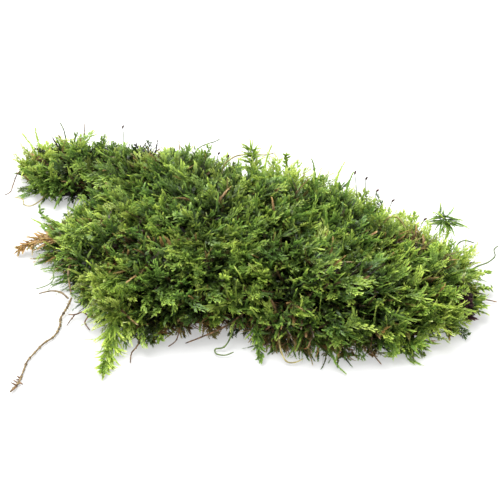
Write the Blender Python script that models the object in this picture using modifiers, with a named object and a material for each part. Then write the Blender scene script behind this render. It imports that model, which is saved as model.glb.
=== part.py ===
"""A flat clump of feather moss as it lies after being lifted off the ground: a springy mat of living
shoots on a thin layer of dead brown stems, with loose fronds, rootlets, twigs and spore stalks standing
out of its edges. Everything is in metres, +Z is up, and +Y runs from the front edge to the back edge."""

import math
import random

import bmesh
import bpy
import numpy as np
from mathutils import Matrix, Vector, kdtree, noise
from mathutils.bvhtree import BVHTree

# Driving dimensions of the mat.
MAT_UNDERSIDE = 0.0008
RIM_HEIGHT = 0.0065
RIM_WIDTH = 0.020
LUMP_HEIGHT = 0.0030
LUMP_LENGTH = 0.021
CREST_X = (-0.120, -0.085, -0.045, 0.030, 0.075, 0.112)
CREST_HEIGHT = (0.0110, 0.0165, 0.0210, 0.0245, 0.0185, 0.0095)
SLAB_HEIGHT = 0.012
MAT_VOXEL = 0.0010
MAT_TRIANGLES = 4400

# The edge of the mat in plan, counterclockwise from the tip of the left arm. The bay after the arm's
# lower edge is where bare ground shows between the arm and the body of the clump.
MAT_EDGE = (
    (-0.121, 0.080), (-0.114, 0.069), (-0.104, 0.063), (-0.093, 0.062), (-0.083, 0.061), (-0.078, 0.054),
    (-0.086, 0.043),
    (-0.097, 0.031), (-0.094, 0.014), (-0.087, 0.000), (-0.079, -0.018), (-0.072, -0.036), (-0.062, -0.050),
    (-0.047, -0.054), (-0.030, -0.048), (-0.012, -0.046), (0.004, -0.052), (0.022, -0.061), (0.044, -0.064),
    (0.066, -0.060), (0.086, -0.052), (0.099, -0.039), (0.105, -0.022), (0.100, -0.006), (0.087, 0.004),
    (0.075, 0.015), (0.060, 0.029), (0.042, 0.043), (0.020, 0.053), (-0.003, 0.058), (-0.024, 0.070),
    (-0.046, 0.081), (-0.074, 0.089), (-0.100, 0.095), (-0.117, 0.093),
)

# The low bank on the front side of the bay: the cushion is thin there and its shoots lie flat, so the bare
# ground behind it shows from the front. The drop is the share of the height that it loses at its middle.
LOW_BANK_MIDDLE = (-0.088, 0.036)
LOW_BANK_RADIUS = 0.017
LOW_BANK_DROP = 0.55
LOW_BANK_RISE = (-4, 12)

# The edge of the dead stem layer in plan. It shows beyond the mat along the front only.
DEAD_EDGE = (
    (-0.091, 0.078), (-0.087, 0.073), (-0.079, 0.070), (-0.071, 0.064), (-0.068, 0.050), (-0.078, 0.034),
    (-0.082, 0.016), (-0.076, -0.002), (-0.068, -0.020), (-0.058, -0.038), (-0.047, -0.049), (-0.036, -0.051),
    (-0.020, -0.047), (-0.004, -0.053), (0.012, -0.061), (0.032, -0.066), (0.046, -0.063), (0.062, -0.050),
    (0.080, -0.040), (0.090, -0.024), (0.082, -0.006), (0.062, 0.014), (0.040, 0.031), (0.014, 0.043),
    (-0.010, 0.050), (-0.034, 0.062), (-0.062, 0.073), (-0.078, 0.080), (-0.088, 0.082),
)
DEAD_LAYER_TOP = 0.0055
DEAD_STEM_SPACING = 0.0052
DEAD_STEM_LENGTH = 0.0085
DEAD_STEM_RADIUS = 0.0009
DEAD_STEM_SPREAD = 0.7
# The stretch of X where the dead stems' ends show, and the wider one where the shoots above stay lifted.
DEAD_STEM_SHOWN = (-0.043, 0.044)
SHOOTS_LIFTED = (-0.076, 0.070)
SHOOT_LIFT = 0.0040

# The shoots fused to the mat. Lengths are what stands out of the cushion, and rises are in degrees above
# level: the lower tier of the rim droops, and the upper one stands up at the back.
SHOOT_ROOT_DEPTH = 0.0035
SHOOT_RADIUS = 0.0019
SHOOT_RADIUS_RANGE = (0.8, 1.2)
SHOOT_SPREAD = 0.5
SHOOT_BEND = (-0.15, 0.35)
TOP_SHOOT_TRIES = 9000
TOP_SHOOT_INSET = 0.0060
TOP_SHOOT_SPACING = 0.0088
TOP_SHOOT_LENGTH = (0.0065, 0.0110)
TOP_SHOOT_RISE = (14, 52)
RIM_SHOOT_SPACING = 0.0056
RIM_SHOOT_LENGTH = (0.0080, 0.0130)
RIM_SHOOT_INSET = 0.0030
RIM_LOW_RISE = (-6, 14)
RIM_LIFTED_RISE = (0, 14)
RIM_FRONT_RISE = (10, 40)
RIM_BACK_RISE = (35, 70)
BACK_RIM_Y = 0.030
SIDE_SHOOT_SHARE = 0.55
SHOOT_FLOOR = 0.0010

# Shoots point away from this place in the mat, turned by up to this angle in swirls of this size.
CENTRE_OF_GROWTH = (-0.015, 0.012)
SHOOT_SWIRL = math.radians(75)
SWIRL_LENGTH = 0.034

# Loose pieces that touch in the real clump keep GAP between them. The cushion is cut NEIGHBOUR_ROOM clear
# of the dead layer and the dark leaves, and its shoots leave LOOSE_ROOM round a loose piece's route.
GAP = 0.00035
NEIGHBOUR_ROOM = 0.0019
LOOSE_ROOM = 0.0034
FLOOR_GAP = 0.0002
ROUTE_STEP = 0.0007
LOOSE_STEP = 0.0045

# The direction of the ray that tells inside from outside: any that follows no edge of the clump.
RAY = Vector((0.13, 0.21, 0.97)).normalized()

# A leafy shoot swells past its middle and ends in a point; a bare stem keeps its width nearly to the end.
SHOOT_PROFILE = ((0.0, 0.60), (0.25, 0.95), (0.6, 1.0), (0.85, 0.70), (1.0, 0.12))
STEM_PROFILE = ((0.0, 1.0), (0.8, 0.85), (1.0, 0.40))
KNOTTED_PROFILE = ((0.0, 1.0), (0.72, 0.8), (0.86, 1.25), (0.93, 0.9), (0.97, 1.6), (1.0, 0.5))
PROFILES = {
    "stem": STEM_PROFILE,
    "stalk": STEM_PROFILE,
    "knotted": KNOTTED_PROFILE,
    "shoot": SHOOT_PROFILE,
    "frond": SHOOT_PROFILE,
}

# The side branches of a loose frond, as shares of its length from the first pair to the last, and how
# far each one turns forwards, sideways and up.
BRANCHES_FROM, BRANCHES_TO = 0.30, 0.80
BRANCH_AHEAD, BRANCH_ASIDE, BRANCH_UP = 0.62, 0.78, 0.06
BRANCH_TAPER = 0.35
BRANCH_CHECKS = 8

CAPSULE_LENGTH = 0.0032
CAPSULE_RADIUS = 0.00075

# Colours of the clump's materials as linear values, with their roughness.
MATERIALS = {
    "living moss": ((0.075, 0.165, 0.022), 0.60),
    "bright young moss": ((0.230, 0.400, 0.050), 0.55),
    "thin green stem": ((0.120, 0.190, 0.045), 0.60),
    "dead brown stem": ((0.130, 0.065, 0.028), 0.80),
    "rusty dead moss": ((0.330, 0.140, 0.045), 0.75),
    "straw coloured stem": ((0.420, 0.320, 0.150), 0.70),
    "dark purple moss": ((0.045, 0.022, 0.028), 0.70),
    "dark spore capsule": ((0.040, 0.018, 0.014), 0.50),
}

# Every loose piece: its kind, its material, its radius and the route of its middle line from its root in
# the mat to its tip. A frond also has pairs of side branches of the given length.
LOOSE_PIECES = {
    "brown_root_stem": ("stem", "dead brown stem", 0.0009, (
        (-0.088, -0.004, 0.009), (-0.089, -0.012, 0.0075), (-0.088, -0.019, 0.006),
        (-0.0865, -0.026, 0.004))),
    "long_rootlet": ("knotted", "dead brown stem", 0.0006, (
        (-0.0865, -0.0285, 0.0028), (-0.088, -0.035, 0.0022), (-0.090, -0.041, 0.0014),
        (-0.090, -0.048, 0.0010), (-0.092, -0.055, 0.0010), (-0.096, -0.060, 0.0010),
        (-0.099, -0.066, 0.0010), (-0.102, -0.073, 0.0010), (-0.103, -0.081, 0.0011),
        (-0.104, -0.088, 0.0011), (-0.107, -0.095, 0.0012))),
    "rootlet_side_branch": ("stem", "rusty dead moss", 0.0006, (
        (-0.0885, -0.0270, 0.0030), (-0.092, -0.0225, 0.0026), (-0.097, -0.0205, 0.0020),
        (-0.103, -0.0215, 0.0011))),
    "rootlet_cross_branch": ("stem", "thin green stem", 0.0006, (
        (-0.070, -0.0310, 0.006), (-0.076, -0.0320, 0.0040), (-0.081, -0.0315, 0.0030),
        (-0.0845, -0.0305, 0.0028))),
    "left_green_stem": ("stem", "thin green stem", 0.0005, (
        (-0.086, 0.004, 0.008), (-0.0945, -0.003, 0.0075), (-0.097, -0.0075, 0.0050),
        (-0.0965, -0.0135, 0.0040), (-0.099, -0.0170, 0.0030), (-0.105, -0.0180, 0.0012))),
    "left_dark_twig": ("stem", "dead brown stem", 0.0006, (
        (-0.066, -0.0410, 0.006), (-0.0735, -0.0430, 0.0036), (-0.077, -0.0412, 0.0030),
        (-0.080, -0.0385, 0.0028), (-0.083, -0.0392, 0.0020), (-0.0868, -0.0385, 0.0012))),
    "left_dark_twig_fork": ("stem", "dead brown stem", 0.0005, (
        (-0.0772, -0.0426, 0.0026), (-0.0782, -0.0455, 0.0018), (-0.0755, -0.0500, 0.0009))),
    "left_dark_twig_tail": ("stem", "dead brown stem", 0.0004, (
        (-0.0842, -0.0404, 0.0015), (-0.0856, -0.0430, 0.0010), (-0.0868, -0.0465, 0.0008))),
    "feathery_frond": ("frond", "bright young moss", 0.0015, (
        (-0.0620, -0.0470, 0.0105), (-0.0630, -0.0540, 0.0080), (-0.0638, -0.0605, 0.0055),
        (-0.0645, -0.0670, 0.0038), (-0.0655, -0.0750, 0.0028), (-0.0668, -0.0850, 0.0022)), 4, 0.0085),
    "front_left_tuft": ("frond", "bright young moss", 0.0016, (
        (-0.0560, -0.0460, 0.0110), (-0.0570, -0.0540, 0.0090), (-0.0575, -0.0610, 0.0050)), 3, 0.0070),
    "front_left_fork": ("stem", "dead brown stem", 0.0005, (
        (-0.0500, -0.0560, 0.0050), (-0.0520, -0.0640, 0.0030), (-0.0545, -0.0680, 0.0018),
        (-0.0548, -0.0745, 0.0010))),
    "rusty_frond": ("frond", "rusty dead moss", 0.0009, (
        (-0.0930, 0.0120, 0.0100), (-0.1010, 0.0150, 0.0080), (-0.1080, 0.0160, 0.0060),
        (-0.1180, 0.0125, 0.0026)), 4, 0.0085),
    "arm_hooked_shoot": ("frond", "living moss", 0.0008, (
        (-0.0930, 0.0290, 0.0065), (-0.1010, 0.0360, 0.0032), (-0.1060, 0.0425, 0.0022),
        (-0.1100, 0.0480, 0.0026), (-0.1110, 0.0525, 0.0045)), 2, 0.0050),
    "arm_drooping_shoot": ("shoot", "living moss", 0.0011, (
        (-0.0980, 0.0640, 0.0080), (-0.1010, 0.0590, 0.0050), (-0.1035, 0.0530, 0.0016))),
    "bay_shoot": ("stem", "thin green stem", 0.0006, (
        (-0.0880, 0.0620, 0.0080), (-0.0920, 0.0560, 0.0050), (-0.0940, 0.0500, 0.0025),
        (-0.0985, 0.0460, 0.0012))),
    "left_curled_shoot": ("shoot", "living moss", 0.0009, (
        (-0.0950, 0.0190, 0.0070), (-0.1040, 0.0230, 0.0085), (-0.1075, 0.0280, 0.0090),
        (-0.1130, 0.0340, 0.0080))),
    "arm_dead_stem": ("stem", "dead brown stem", 0.0005, (
        (-0.1140, 0.0800, 0.0085), (-0.1210, 0.0830, 0.0080), (-0.1260, 0.0815, 0.0060),
        (-0.1280, 0.0760, 0.0030), (-0.1290, 0.0700, 0.0014), (-0.1320, 0.0670, 0.0010))),
    "arm_dead_loop": ("stem", "straw coloured stem", 0.0005, (
        (-0.1060, 0.0720, 0.0060), (-0.1100, 0.0610, 0.0035), (-0.1160, 0.0560, 0.0015),
        (-0.1205, 0.0580, 0.0012), (-0.1215, 0.0630, 0.0010), (-0.1270, 0.0655, 0.0010))),
    "arm_back_stem": ("stem", "thin green stem", 0.0006, (
        (-0.0980, 0.0880, 0.0150), (-0.1000, 0.0920, 0.0210), (-0.1010, 0.0935, 0.0260),
        (-0.1030, 0.0950, 0.0300))),
    "arm_back_thin_stem": ("stem", "dead brown stem", 0.0004, (
        (-0.0910, 0.0880, 0.0150), (-0.0900, 0.0940, 0.0230), (-0.0900, 0.0960, 0.0290))),
    "arm_tip_shoot_left": ("shoot", "bright young moss", 0.0012, (
        (-0.1140, 0.0880, 0.0090), (-0.1200, 0.0950, 0.0160), (-0.1250, 0.0990, 0.0210))),
    "arm_tip_shoot_right": ("shoot", "bright young moss", 0.0012, (
        (-0.1120, 0.0900, 0.0100), (-0.1165, 0.0980, 0.0170), (-0.1175, 0.1010, 0.0230))),
    "back_curved_stem": ("stem", "thin green stem", 0.0005, (
        (-0.0330, 0.0700, 0.0170), (-0.0280, 0.0780, 0.0230), (-0.0230, 0.0795, 0.0255),
        (-0.0190, 0.0785, 0.0275), (-0.0160, 0.0770, 0.0300))),
    "back_long_stem": ("stem", "straw coloured stem", 0.0006, (
        (-0.0160, 0.0560, 0.0170), (-0.0135, 0.0610, 0.0235), (-0.0100, 0.0635, 0.0260),
        (-0.0060, 0.0645, 0.0275), (0.0010, 0.0650, 0.0280), (0.0080, 0.0650, 0.0275),
        (0.0125, 0.0645, 0.0290))),
    "back_stout_stem": ("stem", "bright young moss", 0.0009, (
        (0.0060, 0.0480, 0.0200), (0.0085, 0.0560, 0.0300), (0.0115, 0.0600, 0.0370))),
    "back_fan_frond": ("frond", "bright young moss", 0.0010, (
        (0.0020, 0.0500, 0.0180), (0.0015, 0.0570, 0.0250), (0.0010, 0.0590, 0.0295),
        (0.0000, 0.0605, 0.0345)), 3, 0.0075),
    "back_lance_shoot": ("frond", "bright young moss", 0.0012, (
        (0.0190, 0.0490, 0.0180), (0.0190, 0.0560, 0.0250), (0.0190, 0.0590, 0.0325)), 2, 0.0045),
    "back_curved_shoot": ("shoot", "living moss", 0.0011, (
        (0.0330, 0.0450, 0.0190), (0.0335, 0.0530, 0.0250), (0.0320, 0.0555, 0.0310))),
    "back_right_shoot": ("shoot", "bright young moss", 0.0011, (
        (0.0430, 0.0370, 0.0180), (0.0450, 0.0470, 0.0250), (0.0490, 0.0520, 0.0310))),
    "back_right_lance": ("shoot", "living moss", 0.0012, (
        (0.0480, 0.0320, 0.0190), (0.0500, 0.0400, 0.0240), (0.0530, 0.0450, 0.0290))),
    "spore_stalk_1": ("stalk", "thin green stem", 0.0004, (
        (-0.0690, 0.0840, 0.0140), (-0.0685, 0.0910, 0.0220), (-0.0690, 0.0930, 0.0285))),
    "spore_stalk_2": ("stalk", "thin green stem", 0.0004, (
        (-0.0185, 0.0600, 0.0170), (-0.0175, 0.0650, 0.0240), (-0.0165, 0.0655, 0.0285))),
    "spore_stalk_3": ("stalk", "thin green stem", 0.0004, (
        (-0.0110, 0.0470, 0.0190), (-0.0110, 0.0520, 0.0280), (-0.0115, 0.0535, 0.0340))),
    "spore_stalk_4": ("stalk", "thin green stem", 0.0004, (
        (0.0540, 0.0280, 0.0180), (0.0540, 0.0330, 0.0270), (0.0530, 0.0365, 0.0345))),
    "spore_stalk_5": ("stalk", "thin green stem", 0.0004, (
        (0.0600, 0.0230, 0.0170), (0.0585, 0.0300, 0.0270), (0.0585, 0.0320, 0.0340))),
    "spore_stalk_6": ("stalk", "thin green stem", 0.0004, (
        (0.0640, 0.0180, 0.0160), (0.0630, 0.0260, 0.0250), (0.0640, 0.0270, 0.0300))),
    "spore_stalk_7": ("stalk", "thin green stem", 0.0004, (
        (0.0670, 0.0150, 0.0160), (0.0700, 0.0205, 0.0230), (0.0715, 0.0215, 0.0275))),
    "spore_stalk_8": ("stalk", "thin green stem", 0.0004, (
        (0.0800, -0.0010, 0.0140), (0.0840, 0.0065, 0.0200), (0.0865, 0.0085, 0.0250))),
    "arched_stem": ("stem", "straw coloured stem", 0.0007, (
        (0.0640, 0.0020, 0.0180), (0.0660, 0.0040, 0.0250), (0.0690, 0.0050, 0.0285),
        (0.0730, 0.0050, 0.0275), (0.0765, 0.0030, 0.0230), (0.0780, 0.0010, 0.0180))),
    "right_fan_frond": ("frond", "bright young moss", 0.0008, (
        (0.0920, -0.0040, 0.0100), (0.0965, 0.0020, 0.0165), (0.0985, 0.0055, 0.0210),
        (0.0965, 0.0085, 0.0245), (0.0930, 0.0110, 0.0270)), 3, 0.0080),
    "right_curved_stem": ("stem", "thin green stem", 0.0006, (
        (0.0960, -0.0060, 0.0080), (0.1010, -0.0005, 0.0120), (0.1035, 0.0030, 0.0140),
        (0.1070, 0.0050, 0.0142), (0.1120, 0.0060, 0.0120))),
    "right_tip_stem": ("stem", "thin green stem", 0.0006, (
        (0.1030, -0.0150, 0.0060), (0.1110, -0.0090, 0.0080), (0.1170, -0.0065, 0.0090),
        (0.1205, -0.0055, 0.0120), (0.1200, -0.0040, 0.0150), (0.1220, -0.0040, 0.0175))),
    "right_tip_shoot": ("frond", "bright young moss", 0.0010, (
        (0.1030, -0.0190, 0.0060), (0.1100, -0.0160, 0.0075), (0.1170, -0.0130, 0.0085)), 2, 0.0045),
    "right_lower_shoot": ("frond", "bright young moss", 0.0010, (
        (0.1030, -0.0230, 0.0040), (0.1110, -0.0215, 0.0040), (0.1180, -0.0200, 0.0035)), 2, 0.0045),
    "right_low_twig": ("stem", "dead brown stem", 0.0005, (
        (0.1020, -0.0270, 0.0035), (0.1110, -0.0270, 0.0020), (0.1150, -0.0270, 0.0014),
        (0.1195, -0.0280, 0.0009))),
    "front_dark_twig": ("stem", "dead brown stem", 0.0006, (
        (-0.0040, -0.0500, 0.0100), (-0.0120, -0.0560, 0.0075), (-0.0220, -0.0590, 0.0042),
        (-0.0300, -0.0605, 0.0014))),
    "front_forked_twig": ("stem", "dead brown stem", 0.0005, (
        (-0.0310, -0.0480, 0.0090), (-0.0330, -0.0560, 0.0050), (-0.0345, -0.0600, 0.0025),
        (-0.0380, -0.0625, 0.0010))),
    "front_bright_frond": ("frond", "bright young moss", 0.0010, (
        (-0.0400, -0.0480, 0.0090), (-0.0410, -0.0560, 0.0065), (-0.0425, -0.0610, 0.0035)), 2, 0.0050),
    "front_curled_shoot": ("stem", "thin green stem", 0.0006, (
        (-0.0070, -0.0500, 0.0090), (-0.0090, -0.0600, 0.0050), (-0.0120, -0.0640, 0.0020),
        (-0.0160, -0.0645, 0.0012), (-0.0155, -0.0680, 0.0012), (-0.0115, -0.0690, 0.0012),
        (-0.0075, -0.0675, 0.0018))),
    "front_fan_shoot": ("frond", "thin green stem", 0.0009, (
        (0.0020, -0.0560, 0.0090), (0.0040, -0.0650, 0.0055), (0.0050, -0.0740, 0.0016)), 3, 0.0060),
    "front_arc_shoot": ("stem", "straw coloured stem", 0.0006, (
        (0.0130, -0.0600, 0.0090), (0.0140, -0.0690, 0.0050), (0.0165, -0.0740, 0.0018),
        (0.0205, -0.0745, 0.0014), (0.0245, -0.0725, 0.0020))),
    "front_right_hook": ("shoot", "living moss", 0.0010, (
        (0.0340, -0.0620, 0.0090), (0.0370, -0.0720, 0.0050), (0.0400, -0.0780, 0.0022),
        (0.0435, -0.0825, 0.0014))),
    "front_right_twig": ("stem", "dead brown stem", 0.0006, (
        (0.0510, -0.0600, 0.0090), (0.0550, -0.0690, 0.0045), (0.0600, -0.0755, 0.0011))),
    "club_shoot": ("shoot", "living moss", 0.0018, (
        (0.0370, -0.0070, 0.0210), (0.0370, -0.0040, 0.0300), (0.0370, -0.0010, 0.0385))),
}

# The tangle of dark purple-brown leaves at the right end: its middle and its radii.
DARK_CLUMP_MIDDLE = (0.1045, -0.0355, 0.0052)
DARK_CLUMP_RADII = (0.0068, 0.0062, 0.0046)

SEED = 11

random_source = random.Random(SEED)


def clear_scene():
    for obj in list(bpy.data.objects):
        bpy.data.objects.remove(obj, do_unlink=True)


def make_collection(name):
    collection = bpy.data.collections.new(name)
    bpy.context.scene.collection.children.link(collection)
    return collection


def make_material(name, colour, roughness):
    material = bpy.data.materials.new(name)
    material.use_nodes = True
    shader = material.node_tree.nodes["Principled BSDF"]
    shader.inputs["Base Color"].default_value = (*colour, 1.0)
    shader.inputs["Roughness"].default_value = roughness
    shader.inputs["Metallic"].default_value = 0.0
    return material


def smooth_route(points, step=ROUTE_STEP, closed=False):
    """Points at about the given step along a Catmull-Rom curve through a route's own points."""
    route = [Vector(p).to_3d() for p in points]
    count = len(route)
    spans = count if closed else count - 1
    smooth = []
    for i in range(spans):
        if closed:
            a, b, c, d = (route[(i + k) % count] for k in (-1, 0, 1, 2))
        else:
            a, b, c, d = route[max(i - 1, 0)], route[i], route[i + 1], route[min(i + 2, count - 1)]
        parts = max(1, round((c - b).length / step))
        for j in range(parts):
            t = j / parts
            bend = (2 * a - 5 * b + 4 * c - d) * t**2 + (3 * b - a - 3 * c + d) * t**3
            smooth.append(0.5 * (2 * b + (c - a) * t + bend))
    if not closed:
        smooth.append(route[-1])
    return smooth


class Outline:
    """A closed plan outline with its distance, inside test and outward direction."""

    def __init__(self, points, step):
        self.points = smooth_route(points, step, closed=True)
        self.start = np.array([p[:2] for p in self.points])
        self.run = np.roll(self.start, -1, axis=0) - self.start

    def distance(self, x, y):
        """How far a plan point is inside the edge, negative outside it."""
        offset = np.array((x, y)) - self.start
        share = np.clip((offset * self.run).sum(1) / (self.run**2).sum(1), 0, 1)
        nearest = np.hypot(*(offset - share[:, None] * self.run).T).min()
        y0, y1 = self.start[:, 1], self.start[:, 1] + self.run[:, 1]
        crossed = (y0 > y) != (y1 > y)
        rise = np.where(crossed, self.run[:, 1], 1.0)
        crossings = crossed & (x < self.start[:, 0] + self.run[:, 0] * (y - y0) / rise)
        return nearest if crossings.sum() % 2 else -nearest

    def stations(self, spacing):
        """Evenly spaced plan points on the edge, each with the outward direction there."""
        lengths = np.hypot(*self.run.T)
        along = np.concatenate([[0], np.cumsum(lengths)])
        for place in np.arange(0, along[-1], spacing):
            i = min(np.searchsorted(along, place, side="right") - 1, len(lengths) - 1)
            point = self.start[i] + self.run[i] * (place - along[i]) / lengths[i]
            heading = self.run[i] / lengths[i]
            yield Vector(point), Vector((heading[1], -heading[0]))


def mat_top(edge, x, y):
    """Height of the cushion's upper surface: a crest that changes along the clump, lumps, a round rim."""
    crest = np.interp(x, CREST_X, CREST_HEIGHT)
    lump = LUMP_HEIGHT * noise.noise(Vector((x / LUMP_LENGTH, y / LUMP_LENGTH, 0.0)))
    inward = min(1.0, max(0.0, edge.distance(x, y) / RIM_WIDTH))
    roundness = math.sqrt(1 - (1 - inward) ** 2)
    height = RIM_HEIGHT + (crest + lump - RIM_HEIGHT) * roundness
    return height * (1 - LOW_BANK_DROP * math.exp(-bank_distance(x, y) ** 2))


def bank_distance(x, y):
    """Plan distance from the middle of the low bank by the bay, in bank radii."""
    return math.hypot(x - LOW_BANK_MIDDLE[0], y - LOW_BANK_MIDDLE[1]) / LOW_BANK_RADIUS


def link_mesh(name, mesh, collection):
    obj = bpy.data.objects.new(name, mesh)
    collection.objects.link(obj)
    return obj


def apply_modifiers(obj):
    """Replaces an object's mesh with what its modifiers make of it."""
    graph = bpy.context.evaluated_depsgraph_get()
    obj.data = bpy.data.meshes.new_from_object(obj.evaluated_get(graph))
    obj.modifiers.clear()


def curve_to_mesh(curve_object, collection):
    """Makes a curve object a closed mesh object of the same name, its caps welded to its sides."""
    graph = bpy.context.evaluated_depsgraph_get()
    name = curve_object.name
    mesh = bpy.data.meshes.new_from_object(curve_object.evaluated_get(graph))
    mesh.transform(curve_object.matrix_world)
    bpy.data.objects.remove(curve_object, do_unlink=True)
    sheet = bmesh.new()
    sheet.from_mesh(mesh)
    bmesh.ops.remove_doubles(sheet, verts=sheet.verts, dist=0.00001)
    bmesh.ops.dissolve_degenerate(sheet, edges=sheet.edges, dist=0.00001)
    bmesh.ops.recalc_face_normals(sheet, faces=sheet.faces)
    sheet.to_mesh(mesh)
    sheet.free()
    return link_mesh(name, mesh, collection)


def outline_slab(name, outline, bottom, top, collection):
    """A flat slab of an outline, from a filled 2D curve."""
    curve = bpy.data.curves.new(name, "CURVE")
    curve.dimensions = "2D"
    curve.fill_mode = "BOTH"
    curve.extrude = (top - bottom) / 2
    spline = curve.splines.new("POLY")
    spline.points.add(len(outline.points) - 1)
    for point, place in zip(spline.points, outline.points):
        point.co = (place.x, place.y, 0.0, 1.0)
    spline.use_cyclic_u = True
    slab = bpy.data.objects.new(name, curve)
    slab.location.z = (top + bottom) / 2
    collection.objects.link(slab)
    bpy.context.view_layer.update()
    return curve_to_mesh(slab, collection)


def tubes(name, runs, sides, collection):
    """One mesh of round runs, each a list of (point, radius), from a curve with one spline a run."""
    curve = bpy.data.curves.new(name, "CURVE")
    curve.dimensions = "3D"
    curve.bevel_depth = 1.0
    curve.bevel_resolution = (sides - 4) // 2
    curve.use_fill_caps = True
    for run in runs:
        spline = curve.splines.new("POLY")
        spline.points.add(len(run) - 1)
        for point, (place, radius) in zip(spline.points, run):
            point.co = (*place, 1.0)
            point.radius = radius
    obj = bpy.data.objects.new(name, curve)
    collection.objects.link(obj)
    bpy.context.view_layer.update()
    return curve_to_mesh(obj, collection)


def boolean(obj, operand, operation, solver="EXACT"):
    """Applies a Boolean and removes the operand, which under the exact solver may overlap itself."""
    modifier = obj.modifiers.new(operation.title(), "BOOLEAN")
    modifier.operation = operation
    modifier.solver = solver
    modifier.object = operand
    modifier.use_self = solver == "EXACT"
    apply_modifiers(obj)
    bpy.data.objects.remove(operand, do_unlink=True)


def keep_largest_body(obj):
    """Deletes every loose scrap of a mesh but the body with the most vertices."""
    sheet = bmesh.new()
    sheet.from_mesh(obj.data)
    unseen = set(sheet.verts)
    bodies = []
    while unseen:
        front = [unseen.pop()]
        body = []
        while front:
            vertex = front.pop()
            body.append(vertex)
            for link in vertex.link_edges:
                other = link.other_vert(vertex)
                if other in unseen:
                    unseen.remove(other)
                    front.append(other)
        bodies.append(body)
    bodies.sort(key=len)
    for body in bodies[:-1]:
        bmesh.ops.delete(sheet, geom=body, context="VERTS")
    bmesh.ops.triangulate(sheet, faces=sheet.faces)
    sheet.to_mesh(obj.data)
    sheet.free()


def thin_faces(obj, triangles):
    """Collapses a closed mesh to about the given number of triangles."""
    sheet = bmesh.new()
    sheet.from_mesh(obj.data)
    bmesh.ops.triangulate(sheet, faces=sheet.faces)
    sheet.to_mesh(obj.data)
    sheet.free()
    modifier = obj.modifiers.new("Fewer faces", "DECIMATE")
    modifier.ratio = min(1.0, triangles / len(obj.data.polygons))
    apply_modifiers(obj)


def swollen_copy(obj, amount, collection):
    """A copy whose surface stands out by about the given amount, to cut clear room for the original."""
    copy = link_mesh(obj.name + "_room", obj.data.copy(), collection)
    sheet = bmesh.new()
    sheet.from_mesh(copy.data)
    sheet.normal_update()
    moved = [vertex.co + vertex.normal * amount for vertex in sheet.verts]
    for vertex, place in zip(sheet.verts, moved):
        vertex.co = place
    sheet.to_mesh(copy.data)
    sheet.free()
    return copy


def lean(x, y):
    """Plan direction in which shoots lie: away from the middle of the clump, turned in slow swirls."""
    outward = math.atan2(y - CENTRE_OF_GROWTH[1], x - CENTRE_OF_GROWTH[0])
    swirl = noise.noise(Vector((x / SWIRL_LENGTH, y / SWIRL_LENGTH, 7.0)))
    return outward + SHOOT_SWIRL * swirl


def shoot_run(root, azimuth, rise, length, radius):
    """A shoot as a tapered run of three points that bends up towards its tip."""
    flat = Vector((math.cos(azimuth), math.sin(azimuth), 0.0))
    first = flat * math.cos(rise) + Vector((0, 0, math.sin(rise)))
    later = rise + random_source.uniform(*SHOOT_BEND)
    second = flat * math.cos(later) + Vector((0, 0, math.sin(later)))
    root = Vector(root)
    middle = root + first * (SHOOT_ROOT_DEPTH + length * 0.5)
    tip = middle + second * length * 0.5
    for place in (middle, tip):
        place.z = max(place.z, SHOOT_FLOOR + radius)
    return [(root, radius * 0.8), (middle, radius), (tip, radius * 0.12)]


def side_runs(run):
    """A pair of short branches off the middle of a shoot, which make its tip a small feather."""
    (root, _), (middle, radius), (tip, _) = run
    ahead = tip - middle
    aside = ahead.cross(Vector((0, 0, 1)))
    if aside.length < 1e-6:
        return []
    aside.normalize()
    pair = []
    for sign in (-1, 1):
        end = middle + ahead * 0.45 + aside * sign * ahead.length * 0.75
        end.z = max(end.z, SHOOT_FLOOR + radius)
        start = middle - ahead.normalized() * radius * 0.4
        pair.append([(start, radius * 0.62), ((start + end) / 2, radius * 0.6), (end, radius * 0.1)])
    return pair


def is_clear(run, strays):
    """Whether a shoot keeps away from every loose piece's route."""
    for (a, _), (b, _) in zip(run, run[1:]):
        for share in (0.0, 0.33, 0.67, 1.0):
            if strays.find(a.lerp(b, share))[2] < LOOSE_ROOM:
                return False
    return True


def top_shoots(edge, strays):
    """Shoots scattered over the upper surface, no closer together than the spacing."""
    low = edge.start.min(axis=0)
    high = edge.start.max(axis=0)
    placed = []
    runs = []
    for _ in range(TOP_SHOOT_TRIES):
        x = random_source.uniform(low[0], high[0])
        y = random_source.uniform(low[1], high[1])
        if edge.distance(x, y) < TOP_SHOOT_INSET:
            continue
        if any(math.hypot(x - a, y - b) < TOP_SHOOT_SPACING for a, b in placed):
            continue
        placed.append((x, y))
        rises = LOW_BANK_RISE if bank_distance(x, y) < 1 else TOP_SHOOT_RISE
        rise = math.radians(random_source.uniform(*rises))
        azimuth = lean(x, y) + random_source.gauss(0, SHOOT_SPREAD)
        length = random_source.uniform(*TOP_SHOOT_LENGTH)
        radius = SHOOT_RADIUS * random_source.uniform(*SHOOT_RADIUS_RANGE)
        run = shoot_run((x, y, mat_top(edge, x, y) - SHOOT_ROOT_DEPTH * 0.8), azimuth, rise, length, radius)
        if is_clear(run, strays):
            runs.append(run)
    return runs


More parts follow.
